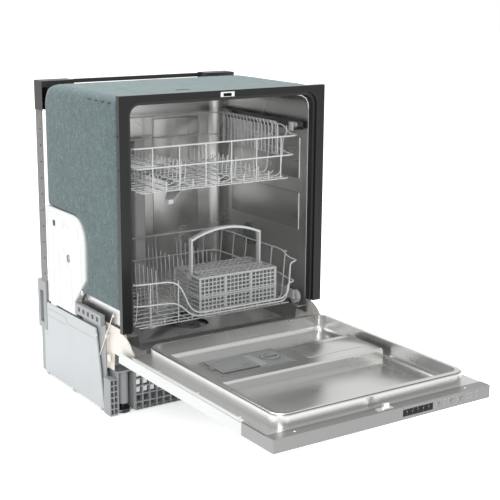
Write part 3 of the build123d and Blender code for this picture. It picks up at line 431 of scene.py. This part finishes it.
# ---------------------------------------------------------------- properties
class DishwasherLook(bpy.types.PropertyGroup):
    """The sizes and colours that are free to change."""

    felt: FloatVectorProperty(
        name="Felt", description="Colour of the insulation", subtype="COLOR", size=3, min=0, max=1,
        default=(0.046, 0.078, 0.082),
    )
    steel: FloatVectorProperty(
        name="Steel", description="Colour of the tub and inner door", subtype="COLOR", size=3, min=0, max=1,
        default=(0.56, 0.56, 0.55),
    )
    grey_moulding: FloatVectorProperty(
        name="Grey Moulding", description="Colour of the basket and wheels", subtype="COLOR", size=3,
        default=(0.42, 0.425, 0.425), min=0, max=1,
    )
    wire_coating: FloatVectorProperty(
        name="Wire Coating", description="Colour of the racks", subtype="COLOR", size=3, min=0, max=1,
        default=(0.56, 0.57, 0.57),
    )
    panel_silver: FloatVectorProperty(
        name="Panel Silver", description="Colour of the control panel", subtype="COLOR", size=3, min=0, max=1,
        default=(0.2, 0.2, 0.198),
    )
    felt_swell: FloatProperty(
        name="Felt Swell", description="How far the felt stands out between its edges", unit="LENGTH",
        default=0.0022, min=0, max=0.004,
    )
    plate_tines: IntProperty(
        name="Plate Tines", description="Tines in the longest row of the lower rack",
        default=13, min=4, max=20,
    )
    wire_radius: FloatProperty(
        name="Wire Radius", description="Radius of the thin rack wires", unit="LENGTH",
        default=0.0015, min=0.001, max=0.003,
    )
    rim_radius: FloatProperty(
        name="Rim Radius", description="Radius of the racks' rim wires", unit="LENGTH",
        default=0.0021, min=0.001, max=0.004,
    )
    key_light: FloatProperty(
        name="Key Light", description="Power of the light overhead", unit="POWER",
        default=56.0, min=0,
    )


# ---------------------------------------------------------------- makers
def give_finishes():
    """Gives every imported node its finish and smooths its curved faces."""
    slots = {row["node"]: row["material_slot"] for row in frame["record"]["subparts"]}
    for name, node in frame["nodes"].items():
        node.data.materials.clear()
        node.data.materials.append(finish_of(slots[name]))
        for face in node.data.polygons:
            face.use_smooth = True
            face.material_index = 0
        if node.data.has_custom_normals:
            node.data.attributes.remove(node.data.attributes["custom_normal"])
        weld = node.modifiers.new("Weld", "WELD")
        weld.merge_threshold = 0.000005
        split = node.modifiers.new("Edges", "EDGE_SPLIT")
        split.split_angle = SHARP


def make_felt(look):
    """The felt wrap: a soft shell with a pressed crease, in place of the plain one, and black bars of painted
    shade where its slits and crease fall.
    """
    source = frame["nodes"]["insulation_blanket"]
    bm = bmesh.new()
    bm.from_mesh(source.data)
    bmesh.ops.remove_doubles(bm, verts=bm.verts, dist=0.00001)
    mesh = bpy.data.meshes.new("felt_rough")
    bm.to_mesh(mesh)
    bm.free()
    rough = bpy.data.objects.new("felt_rough", mesh)
    bpy.context.scene.collection.objects.link(rough)
    remesh = rough.modifiers.new("Remesh", "REMESH")
    remesh.mode = "VOXEL"
    remesh.voxel_size = FELT_CELL
    graph = bpy.context.evaluated_depsgraph_get()
    dense = bpy.data.meshes.new_from_object(rough.evaluated_get(graph))
    bpy.data.objects.remove(rough)
    bm = bmesh.new()
    bm.from_mesh(dense)
    bpy.data.meshes.remove(dense)
    for _ in range(3):
        bmesh.ops.smooth_vert(bm, verts=bm.verts, factor=0.5, use_axis_x=True, use_axis_y=True, use_axis_z=True)
    bm.normal_update()
    low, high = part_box("insulation_blanket")
    for vert in bm.verts:
        vert.co += felt_shift(vert, low, high, look.felt_swell)
    piece = add_piece("felt_wrap", bm, "cabinet", "felt", ("insulation_blanket",))
    smoothed(piece.data, FELT_SHARP)
    # Black bars of painted shade: the dark insides of the felt's slits and the shaded line of its crease.
    bm = bmesh.new()
    for i in range(4):
        y = 58 + 34 * i
        add_bar(bm, (-296.4, y - 8, 793.4), (-293.6, y + 8, 795.6), 0.7)
    add_bar(bm, (-96, 84, 811.4), (-58, 86, 813.2), 0.5)
    add_piece("felt_slit_crease_shade", bm, "cabinet", "seal_rubber")


def felt_shift(vert, low, high, swell):
    """How far a point of the felt moves out from its plain place."""
    co, normal = vert.co, vert.normal
    along = (co.y - low.y) / (high.y - low.y)
    rise = (co.z - low.z) / (high.z - low.z)
    edge = min(1.0, 6 * min(along, 1 - along)) * min(1.0, 5 * rise + 0.2)
    outside = max(abs(normal.x), normal.z, 0.0)
    lump = noise.noise(co * 9) * 0.6 + noise.noise(co * 34) * 0.25 + noise.noise(co * 120) * 0.12
    crease = 0.0
    if normal.z > 0.5 and co.y < 0.2:
        crease = math.exp(-(((co.x + 0.21 - 0.2 * (co.y - 0.12)) / 0.006) ** 2))
    return normal * outside * (swell * edge * (0.35 + 0.65 * lump) - 0.0016 * crease)


def rack_rim(half, front, rear, z, front_z, radius, dip=None):
    """A rim loop that is lower along the front, where it can dip below the basket."""
    points = [
        (-half, front + 70, z), (-half, rear, z), (half, rear, z), (half, front + 70, z),
        (half, front + 42, front_z), (half, front, front_z),
    ]
    if dip:
        points += [(half - 22, front, front_z - 4), (half - 27, front, dip)]
        points += [(-78, front, dip), (-120, front, front_z - 6)]
    points += [(-half, front, front_z), (-half, front + 42, front_z)]
    return bent(points, radius, closed=True)


def make_lower_rack(look):
    """The lower rack's bent wires and plate tines."""
    low, high = box_mm("lower_rack")
    thin, thick = look.wire_radius / MM, look.rim_radius / MM
    rim, base = high.x - 2.5, 236.0
    front, rear, z0, z1 = low.y + 2.6, high.y - 2.6, 229.0, 360.0
    rims = [
        rack_rim(rim, front, rear, z1, 345, 34, 246),
        rack_rim(rim - 6, front + 1, rear - 1, 295, 289, 34, 238),
    ]
    wires = []
    for y in spread(92, 412, 11):
        points = [
            (-rim + 1, y, z1), (-base, y, z0 + 8), (-base + 12, y, z0),
            (base - 12, y, z0), (base, y, z0 + 8), (rim - 1, y, z1),
        ]
        wires.append(bent(points if y in TALL_ROWS else points[1:-1], 10))
    for y in (48, 68):
        wires.append([(-base + 8, y, z0), (base - 8, y, z0)])
    for x in spread(-200, 200, 11):
        tall = round((x + 200) / 40) % 2 == 0
        front_top = 341 if tall and x < -110 else z0 + 17
        points = [(x, front, front_top), (x, front, z0), (x, rear, z0), (x, rear, z1 if tall else z0 + 24)]
        wires.append(bent(points, 12))
    for x, first, last in ((-130, 130, 400), (-15, 192, 402), (90, 192, 402)):
        count = look.plate_tines if first < 150 else look.plate_tines - 3
        wires.append([(x, first - 10, z0 + 3.4), (x, last + 8, z0 + 3.4)])
        for y in spread(first, last, count):
            wires.append(bent([(x, y, z0), (x, y - 1, z0 + 20), (x - 6, y - 4, 350)], 12))
    for y in spread(76, 400, 12):
        wires.append(bent([(-base + 6, y, z0), (-base + 14, y, z0 + 10), (-base + 20, y - 2, 312)], 12))
    for side in (-1, 1):
        for y in (92, 220, 348, 412):
            hook = [(side * (rim - 1), y - 6, z1), (side * (rim + 1), y, z1 + 1), (side * (rim - 1), y + 6, z1)]
            wires.append(bent(hook, 2))
    groups = [(thick, True, rims), (thin, False, wires)]
    add_wires("lower_rack_wires", groups, "lower_rack", "rack_coating", ("lower_rack",))


def make_upper_rack(look):
    """The upper rack's bent wires, stepped on the right, with its cup tines."""
    low, high = box_mm("upper_rack")
    thin, thick = look.wire_radius / MM, look.rim_radius / MM
    rim, base = 246.0, 226.0
    front, rear, z0, z1 = low.y + 2.6, high.y - 2.6, 570.0, 702.0
    rims = [rack_rim(rim, front, rear, z1, 682, 32), rack_rim(rim - 9, front + 1, rear - 1, 640, 632, 32)]
    wires = []
    for y in spread(92, 412, 11):
        points = [
            (-base, y, z0 + 8), (-base + 12, y, z0), (-90, y, z0), (-75, y, z0 + 12), (-60, y, z0),
            (60, y, z0), (75, y, z0 + 12), (90, y, z0), (base - 12, y, z0), (base, y, z0 + 8),
        ]
        if y in TALL_ROWS:
            step = [(rim - 12, y, 652), (rim - 12, y, 668), (rim - 1, y, 680), (rim - 1, y, z1)]
            points = [(-rim + 1, y, z1)] + points + step
        wires.append(bent(points, 8))
    for y in (48, 70):
        wires.append([(-base + 6, y, z0), (base - 6, y, z0)])
    for x in spread(-190, 190, 11):
        tall = round((x + 190) / 38) % 2 == 0
        front_top, rear_top = (682, z1) if tall else (z0 + 26, z0 + 26)
        wires.append(bent([(x, front, front_top), (x, front, z0), (x, rear, z0), (x, rear, rear_top)], 12))
    for x in (-75, 75):
        for y in spread(82, 410, 17):
            wires.append(bent([(x, y, z0 + 10), (x, y - 6, z0 + 62)], 4))
    for x in (-150, 150):
        for y in spread(82, 410, 17):
            wires.append(bent([(x, y, z0), (x - 4, y - 3, z0 + 34)], 4))
    groups = [(thick, True, rims), (thin, False, wires)]
    add_wires("upper_rack_wires", groups, "upper_rack", "rack_coating", ("upper_rack",))
    bm = bmesh.new()
    for y in (75, 395):
        for side in (-1, 1):
            x = sorted((side * 245.0, side * 250.0))
            add_bar(bm, (x[0], y - 9, 690), (x[1], y + 9, 713), 1.4)
            add_peg(bm, (side * 248, y, 705), (side * 262.1, y, 705), 3.0)
            add_peg(bm, (side * 243.6, y, 705), (side * 246, y, 705), 5.5, bevel=0.8)
    add_piece("roller_brackets", bm, "upper_rack", "wheel_moulding")


def shelf_wires(side, folded):
    """One cup shelf: its hinge rod, its outer rod and its tined bars."""
    hinge, reach, z = side * 222.0, 85.0, 626.0
    inward = -side
    wires = [[(hinge, 96, z), (hinge, 372, z)]]

    def spot(out, y, lift):
        if folded:
            return (hinge + inward * lift, y, z + out)
        return (hinge + inward * out, y, z + lift)

    loop = [spot(2, 100, 0), spot(reach, 100, 0), spot(reach, 368, 0), spot(2, 368, 0)]
    thick = [bent(loop, 16)]
    for y in spread(108, 360, 16):
        wires.append(bent([spot(0, y, 0), spot(reach - 14, y, 0), spot(reach + 3, y, 7)], 8))
    wires.append([spot(reach * 0.52, 102, 0.6), spot(reach * 0.52, 366, 0.6)])
    return thick, wires


def make_shelves(look):
    """The two folding cup shelves."""
    thin = look.wire_radius / MM
    for side, name in ((1, "cup_shelf_right"), (-1, "cup_shelf_left")):
        thick, wires = shelf_wires(side, side > 0)
        groups = [(2.0, False, thick), (thin * 0.95, False, wires)]
        add_wires(name + "_wires", groups, name, "rack_coating", (name,))


def make_basket():
    """The cutlery basket as a lattice moulding, with its pierced lid."""
    low, high = box_mm("basket_body")
    x0, x1, y0, y1 = -52.0, 184.0, low.y, high.y
    z0, z1 = low.z, 335.0
    mid_z, tall = (z0 + z1) / 2, z1 - z0
    third = (x1 - x0) / 3
    wall = 2.2
    bm = bmesh.new()
    for i in range(3):
        cx = x0 + third * (i + 0.5)
        for y in (y0 + wall / 2 + 0.6, y1 - wall / 2 + 0.6):
            add_mesh_plate(bm, (cx, y, mid_z), (third - 7, 0, 0), (0, 0, tall - 10), (6, 9), 3.0, 1.6)
        floor = (cx, (y0 + y1) / 2, z0 + 2.2)
        add_mesh_plate(bm, floor, (third - 2, 0, 0), (0, y1 - y0 - 2, 0), (6, 10), 3.2, 1.8)
    for i in range(4):
        x = min(max(x0 + third * i, x0 + 1.6), x1 - 1.2)
        cells = (2, 9) if i in (0, 3) else (4, 5)
        add_mesh_plate(bm, (x, (y0 + y1) / 2, mid_z), (0, y1 - y0 - 4, 0), (0, 0, tall - 8), cells, 3.0, 1.6)
        for y in (y0, y1 - 3.4):
            add_bar(bm, (x - 3.2, y, z0), (x + 3.2, y + 3.4, z1), 1.0)
    for z, h in ((z0, 5), (mid_z - 2, 4), (z1 - 6, 6)):
        for y in (y0, y1 - 2.8):
            add_bar(bm, (x0, y - 0.2, z), (x1, y + 3.0, z + h), 0.8)
        for x in (x0, x1 - 2.8):
            add_bar(bm, (x - 0.2, y0, z), (x + 3.0, y1, z + h), 0.8)
    for x in (x0 + 1, x1 - 9):
        add_bar(bm, (x, 105, z1 - 15), (x + 8, 119, z1), 1.0)
    add_piece("basket_lattice", bm, "lower_rack", "basket_moulding", ("basket_body",))
    bm = bmesh.new()
    top = high.z + 0.2
    for y in (y0 + 30, y1 - 30):
        add_mesh_plate(bm, ((x0 + x1) / 2, y, top), (x1 - x0 - 36, 0, 0), (0, 55, 0), (12, 3), 5.0, 2.6)
    for x in (x0 + 10.6, x1 - 10.6):
        for y in (y0 + 13, y1 - 13):
            add_mesh_plate(bm, (x, y, top), (15, 0, 0), (0, 22, 0), (1, 1), 5.0, 2.6)
    add_bar(bm, (x0 + 18, 103.6, top - 2.6), (x1 - 18, 120.4, top + 0.6), 1.0)
    for y in (y0, y1 - 3.6):
        add_bar(bm, (x0, y, top - 3), (x1, y + 3.6, top + 0.4), 1.0)
    for x in (x0, x1 - 3.4):
        add_bar(bm, (x, y0, top - 3), (x + 3.4, y1, top + 0.4), 1.0)
    add_piece("basket_lid_grid", bm, "lower_rack", "basket_moulding", ("basket_lid",))


def circle_of(x, y, z, radius, count):
    """Points round a level circle, for a closed wire."""
    turns = spread(0, math.tau * (count - 1) / count, count)
    return [(x + radius * math.cos(a), y + radius * math.sin(a), z) for a in turns]


def make_tub_details():
    """Pressings and rings in the tub, the seal's bright trim, the plugs and the rail stops."""
    bm = bmesh.new()
    for side in (-1, 1):
        for z0, z1, y0, y1 in ((420, 520, 70, 400), (560, 670, 70, 400)):
            x = sorted((side * 272.2, side * 274.4))
            add_bar(bm, (x[0], y0, z0), (x[1], y1, z1), 1.8, 3)
    for x0, x1 in ((-200, -50), (50, 200)):
        add_bar(bm, (x0, 470.2, 270), (x1, 473.4, 690), 2.0, 3)
    add_piece("tub_pressings", bm, "cabinet", "tub_steel")
    rings = [circle_of(60, 215, 789.9, radius, 60) for radius in (60, 84, 108, 132)]
    add_wires("ceiling_rings", [(2.2, True, rings)], "cabinet", "tub_steel")
    hoop = bent([(-267, 25.2, 242), (-267, 25.2, 789.5), (267, 25.2, 789.5), (267, 25.2, 242)], 40)
    add_wires("seal_trim", [(1.3, False, [hoop])], "cabinet", "bright_steel", sides=2)
    bm = bmesh.new()
    for z in (471, 487, 533, 684):
        add_peg(bm, (273.4, 26, z), (270.4, 26, z), 2.4, 16, 1.8, 0.4)
    add_piece("frame_plugs", bm, "cabinet", "white_moulding")
    bm = bmesh.new()
    for side in (-1, 1):
        x = sorted((side * 268.0, side * 273.2))
        add_bar(bm, (x[0], 30, 700), (x[1], 58, 716), 1.2)
        add_bar(bm, (x[0], 431, 700), (x[1], 444, 716), 1.2)
    for x in (-170, 170):
        add_bar(bm, (x - 7, 8, 790.6), (x + 7, 22, 797.2), 1.0)
    add_piece("rail_stops", bm, "cabinet", "black_moulding")


def make_reservoir_details():
    """The reservoir's raised arc, its chamber walls, a dark bar of painted shade for its slot, and its bosses.
    """
    x = -298.5
    arc = [(x, 318 + 26 * math.cos(a), 436 + 26 * math.sin(a)) for a in spread(0.2, 2.7, 14)]
    inner = [(x, 318 + 16 * math.cos(a), 436 + 16 * math.sin(a)) for a in spread(0.2, 2.7, 12)]
    walls = [
        bent([(x, 224, 318), (x, 224, 410), (x, 246, 456), (x, 262, 466)], 14),
        bent([(x, 426, 232), (x, 426, 474), (x, 352, 474)], 10),
        bent([(x, 284, 244), (x, 284, 330), (x, 326, 360), (x, 326, 398)], 16),
        bent([(x, 358, 232), (x, 358, 384)], 4),
        bent([(x, 392, 232), (x, 392, 414)], 4),
    ]
    add_wires("reservoir_beads", [(1.5, False, [arc, inner] + walls)], "cabinet", "white_moulding", sides=2)
    # A dark bar of painted shade, standing for the shaded inside of the slot.
    bm = bmesh.new()
    add_bar(bm, (-298.9, 376, 438), (-297.6, 392, 454), 0.6)
    add_piece("reservoir_slot_shade", bm, "cabinet", "dark_moulding")
    bm = bmesh.new()
    add_peg(bm, (-298.6, 300, 366), (-296.6, 300, 366), 12, 28, bevel=0.8)
    for y, z in ((228, 290), (436, 300), (436, 440)):
        add_bar(bm, (-297.4, y - 4, z - 6), (-294, y + 4, z + 6), 1.0)
    add_piece("reservoir_bosses", bm, "cabinet", "white_moulding")


def make_base_details():
    """Raised lines and screws on the base covers, the pulleys, the pins and the spring coils."""
    bm = bmesh.new()
    lines = []
    for side in (-1, 1):
        x = side * 298.1
        lines.append(bent([(x, 440, 196), (x, 330, 198), (x, 322, 184), (x, 150, 186)], 6))
        lines.append([(x, 440, 176), (x, 330, 178)])
        for y, z in ((146, 200), (452, 120), (126, 30)):
            add_peg(bm, (x - side * 1.2, y, z), (x + side * 0.7, y, z), 4.4, 18, bevel=0.6)
    add_wires("cover_lines", [(0.7, False, lines)], "cabinet", "side_cover")
    add_piece("cover_screws", bm, "cabinet", "side_cover")
    bm = bmesh.new()
    for side in (-1, 1):
        a, b = side * 287.2, side * 290.6
        add_peg(bm, (a, 96, 150), (b, 96, 150), 10, 28, bevel=1.0)
        add_peg(bm, (a, 116, 212), (b, 116, 212), 7, 24, bevel=0.8)
        add_peg(bm, (side * 288, 60, 270), (side * 294.0, 60, 270), 3.4, 18, bevel=0.6)
    add_piece("rope_pulleys", bm, "cabinet", "cream_paint")
    bm = bmesh.new()
    for side in (-1, 1):
        for z in (18, 33.4, 48.8, 64.2, 79.6):
            add_peg(bm, (side * 288, 78.5, z), (side * 288, 75.4, z), 2.6, 14, bevel=0.5)
    add_piece("pillar_pins", bm, "cabinet", "base_moulding")
    springs = []
    for side in (-1, 1):
        turns = [
            (side * 279 + 8.4 * math.cos(a), 192 + 136 * a / (math.tau * 34), 40 + 8.4 * math.sin(a))
            for a in spread(0, math.tau * 34, 34 * 10)
        ]
        springs.append(turns)
    add_wires("spring_coils", [(1.25, False, springs)], "cabinet", "spring_steel")


def glow_finish(name, colour, strength):
    """A printed symbol; with a strength above zero it gets a painted glow."""
    f = Finish(name, colour, 0.4)
    f.feed("Emission Color", (*colour, 1))
    f.feed("Emission Strength", strength)
    patch = f.grain(600.0, 2.0)
    f.feed("Roughness", patch * 0.2 + 0.3)
    return f.material


def make_panel_details():
    """Symbols and marks on the control panel, the door's screws and its edge strips."""
    front = box_mm("display_window")[0].y
    # Painted glow: the display's printed symbols get a faint emission, though nothing lights them.
    painted_glow = glow_finish("Painted_Glow_Symbols", (0.4, 0.44, 0.43), 0.1)
    printed = glow_finish("Printed_Marks", (0.42, 0.42, 0.41), 0.0)
    bm = bmesh.new()
    for i, x in enumerate(spread(53, 115, 5)):
        add_bar(bm, (x - 1.4, front - 0.25, 176.4), (x + 1.4, front + 0.2, 176.9), 0.1)
        add_bar(bm, (x - 0.3, front - 0.25, 174.4), (x + 0.3, front + 0.2, 176.6), 0.1)
        dot = x + (i % 2) * 2.6 - 1.3
        add_peg(bm, (dot, front - 0.25, 180.2), (dot, front + 0.2, 180.2), 0.6, 12)
        add_bar(bm, (x - 1.0, front - 0.25, 170.2), (x + 1.0, front + 0.2, 170.6), 0.1)
    add_piece("window_symbols", bm, "door", "window_black", finish=painted_glow)
    front = box_mm("control_panel")[0].y
    bm = bmesh.new()
    for x, rows in ((136, 3), (160, 4), (172, 4), (198, 3), (228, 4), (238, 4), (256, 4)):
        for i in range(rows):
            z = 175 + 5 * (i - (rows - 1) / 2)
            add_peg(bm, (x, front - 0.2, z), (x, front + 0.3, z), 0.8, 12)
            if i % 2:
                add_bar(bm, (x + 2.2, front - 0.2, z - 0.5), (x + 5.4, front + 0.3, z + 0.5), 0.15)
    for x in (147, 184, 213):
        add_bar(bm, (x - 2.2, front - 0.2, 184.4), (x + 2.2, front + 0.3, 185.2), 0.15)
    add_piece("panel_marks", bm, "door", "key_silver", finish=printed)
    bm = bmesh.new()
    for side in (-1, 1):
        for y in (-500, -330, -160):
            add_peg(bm, (side * 286, y, 189.9), (side * 286, y, 191.2), 3.6, 18, bevel=0.5)
        add_peg(bm, (side * 236, -626, 189.9), (side * 236, -626, 191.0), 3.2, 18, bevel=0.5)
    add_piece("door_screws", bm, "door", "bright_steel")
    bm = bmesh.new()
    for side in (-1, 1):
        x = sorted((side * 288.5, side * 297.6))
        add_bar(bm, (x[0], -522, 186.0), (x[1], -44, 190.6), 1.4)
    add_piece("door_edges", bm, "door", "door_paint")


def make_dispenser_details():
    """Ribs on the detergent flap, the border round it, a dark bar of painted shadow under the flap's front
    edge, the cap's dots and the catch's grip.
    """
    bm = bmesh.new()
    add_bar(bm, (-190, -286, 208.6), (-102, -283, 210.6), 0.8)
    for y in (-276, -270, -264):
        add_bar(bm, (-132, y, 209.0), (-106, y + 2.2, 210.2), 0.6)
    add_bar(bm, (-188, -246, 209.0), (-150, -222, 209.9), 0.4)
    add_piece("flap_ribs", bm, "dispenser_lid", "dispenser_moulding")
    z = 205.2
    ring = circle_of(-35, -247, z, 26, 48)
    border = bent([(-201, -298, z), (1, -298, z), (1, -196, z), (-201, -196, z)], 8, closed=True)
    add_wires("dispenser_border", [(1.1, True, [ring, border])], "door", "dispenser_moulding", sides=2)
    bm = bmesh.new()
    for i in range(9):
        a = math.radians(200 + 20 * i)
        spot = (-35 + 33 * math.cos(a), -247 + 33 * math.sin(a))
        add_peg(bm, (*spot, 204.6), (*spot, 205.9), 1.2, 12)
    add_bar(bm, (-92, -290, 204.6), (-68, -208, 206.4), 0.8)
    add_piece("dispenser_marks", bm, "door", "cap_moulding")
    bm = bmesh.new()
    # A dark bar of painted shadow, where the raised flap's front edge shades the door.
    add_bar(bm, (-198, -296.8, 204.6), (-96, -293.2, 207.0), 0.6)
    add_piece("flap_painted_shadow", bm, "door", "dark_moulding")
    bm = bmesh.new()
    for x in (-200, -198):
        add_bar(bm, (x - 0.4, -259, 208.8), (x + 0.4, -241, 209.8), 0.2)
    add_piece("catch_grip", bm, "dispenser_latch", "dispenser_moulding")


def make_pan_details():
    """Soft pressings in the floor of the inner door and beside the dispenser."""
    bm = bmesh.new()
    add_bar(bm, (-200, -560, 179.4), (200, -372, 181.0), 1.2, 3)
    add_bar(bm, (40, -300, 203.4), (222, -222, 204.9), 1.2, 3)
    add_piece("pan_pressings", bm, "door", "tub_steel")


def aimed(location, target):
    """A placing that looks from one point at another."""
    turn = (Vector(target) - Vector(location)).to_track_quat("-Z", "Y").to_matrix().to_4x4()
    return Matrix.Translation(location) @ turn


def add_light(name, location, target, power, size):
    """A soft square lamp aimed at a point."""
    lamp = bpy.data.lights.new(name, "AREA")
    lamp.energy = power
    lamp.size = size
    holder = bpy.data.objects.new(name, lamp)
    holder.matrix_world = aimed(location, target)
    bpy.context.scene.collection.objects.link(holder)


CAMERA_PLACE = (-1.559, -2.437, 1.105)
CAMERA_AZIMUTH = math.radians(-33.76)
CAMERA_HEIGHT = math.radians(13.46)
CAMERA_ROLL = math.radians(0.42)
CAMERA_LENS = 84.7


def make_stage(look):
    """The floor, the lamps and the camera."""
    scene = bpy.context.scene
    scene.view_settings.view_transform = "Standard"
    world = bpy.data.worlds.new("Studio")
    scene.world = world
    world.use_nodes = True
    world.node_tree.nodes["Background"].inputs["Color"].default_value = (1, 1, 1, 1)
    world.node_tree.nodes["Background"].inputs["Strength"].default_value = 1.0
    bm = bmesh.new()
    bmesh.ops.create_grid(bm, x_segments=1, y_segments=1, size=14, matrix=Matrix.Translation((0, 4, -0.0006)))
    mesh = bpy.data.meshes.new("floor")
    bm.to_mesh(mesh)
    bm.free()
    floor = bpy.data.objects.new("floor", mesh)
    scene.collection.objects.link(floor)
    white = Finish("Floor_White", (0.93, 0.93, 0.93), 0.9, specular_ior_level=0.0)
    white.feed("Emission Color", (1, 1, 1, 1))
    white.feed("Emission Strength", 0.45)
    mesh.materials.append(white.material)
    add_light("lamp_overhead", (-0.2, 0.5, 2.4), (0, 0.1, 0.6), look.key_light, 1.6)
    add_light("lamp_front", (-1.7, -2.1, 1.5), (0.05, 0.2, 0.4), look.key_light * 0.42, 1.0)
    camera = bpy.data.cameras.new("camera")
    camera.lens = CAMERA_LENS
    holder = bpy.data.objects.new("camera", camera)
    flat = math.cos(CAMERA_HEIGHT)
    back = Vector((math.sin(CAMERA_AZIMUTH) * flat, -math.cos(CAMERA_AZIMUTH) * flat, math.sin(CAMERA_HEIGHT)))
    right = Vector((0, 0, 1)).cross(back).normalized()
    turn = Matrix((right, back.cross(right), back)).transposed() @ Matrix.Rotation(CAMERA_ROLL, 3, "Z")
    holder.matrix_world = Matrix.Translation(CAMERA_PLACE) @ turn.to_4x4()
    scene.collection.objects.link(holder)
    scene.camera = holder


# ---------------------------------------------------------------- operators
class DISHWASHER_OT_stage(bpy.types.Operator):
    """Add the floor, the lamps and the camera"""

    bl_idname = "dishwasher.stage"
    bl_label = "Stage"

    def execute(self, context):
        make_stage(context.scene.dishwasher)
        return {"FINISHED"}


class DISHWASHER_OT_finishes(bpy.types.Operator):
    """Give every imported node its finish"""

    bl_idname = "dishwasher.finishes"
    bl_label = "Finishes"

    def execute(self, context):
        give_finishes()
        return {"FINISHED"}


class DISHWASHER_OT_felt(bpy.types.Operator):
    """Make the felt wrap over the tub"""

    bl_idname = "dishwasher.felt"
    bl_label = "Felt Wrap"

    def execute(self, context):
        make_felt(context.scene.dishwasher)
        return {"FINISHED"}


class DISHWASHER_OT_racks(bpy.types.Operator):
    """Make the racks and the cup shelves from bent wire"""

    bl_idname = "dishwasher.racks"
    bl_label = "Racks"

    def execute(self, context):
        look = context.scene.dishwasher
        make_lower_rack(look)
        make_upper_rack(look)
        make_shelves(look)
        return {"FINISHED"}


class DISHWASHER_OT_basket(bpy.types.Operator):
    """Make the cutlery basket and its lid"""

    bl_idname = "dishwasher.basket"
    bl_label = "Cutlery Basket"

    def execute(self, context):
        make_basket()
        return {"FINISHED"}


class DISHWASHER_OT_tub(bpy.types.Operator):
    """Make the tub's pressings, trim and plugs"""

    bl_idname = "dishwasher.tub"
    bl_label = "Tub Details"

    def execute(self, context):
        make_tub_details()
        return {"FINISHED"}


class DISHWASHER_OT_cabinet(bpy.types.Operator):
    """Make the details of the reservoir, the base and the hinges"""

    bl_idname = "dishwasher.cabinet"
    bl_label = "Cabinet Details"

    def execute(self, context):
        make_reservoir_details()
        make_base_details()
        return {"FINISHED"}


class DISHWASHER_OT_door(bpy.types.Operator):
    """Make the details of the door, its panel and its dispenser"""

    bl_idname = "dishwasher.door"
    bl_label = "Door Details"

    def execute(self, context):
        make_panel_details()
        make_dispenser_details()
        make_pan_details()
        return {"FINISHED"}


OPERATORS = (
    DISHWASHER_OT_stage,
    DISHWASHER_OT_finishes,
    DISHWASHER_OT_felt,
    DISHWASHER_OT_racks,
    DISHWASHER_OT_basket,
    DISHWASHER_OT_tub,
    DISHWASHER_OT_cabinet,
    DISHWASHER_OT_door,
)


class DISHWASHER_PT_sidebar(bpy.types.Panel):
    """Lists the dishwasher's makers"""

    bl_label = "Built-in Dishwasher"
    bl_idname = "DISHWASHER_PT_sidebar"
    bl_space_type = "VIEW_3D"
    bl_region_type = "UI"
    bl_category = "Dishwasher"

    def draw(self, context):
        look = context.scene.dishwasher
        for name in DishwasherLook.__annotations__:
            self.layout.prop(look, name)
        for operator in OPERATORS:
            self.layout.operator(operator.bl_idname)


CLASSES = (DishwasherLook, *OPERATORS, DISHWASHER_PT_sidebar)


def register():
    """Registers the classes and the properties."""
    for cls in CLASSES:
        bpy.utils.register_class(cls)
    bpy.types.Scene.dishwasher = PointerProperty(type=DishwasherLook)


def unregister():
    """Takes the classes and the properties away."""
    del bpy.types.Scene.dishwasher
    for cls in reversed(CLASSES):
        bpy.utils.unregister_class(cls)


def main():
    """Makes the whole machine."""
    register()
    for operator in OPERATORS:
        getattr(bpy.ops.dishwasher, operator.bl_idname.split(".")[1])()


if __name__ == "__main__":
    main()
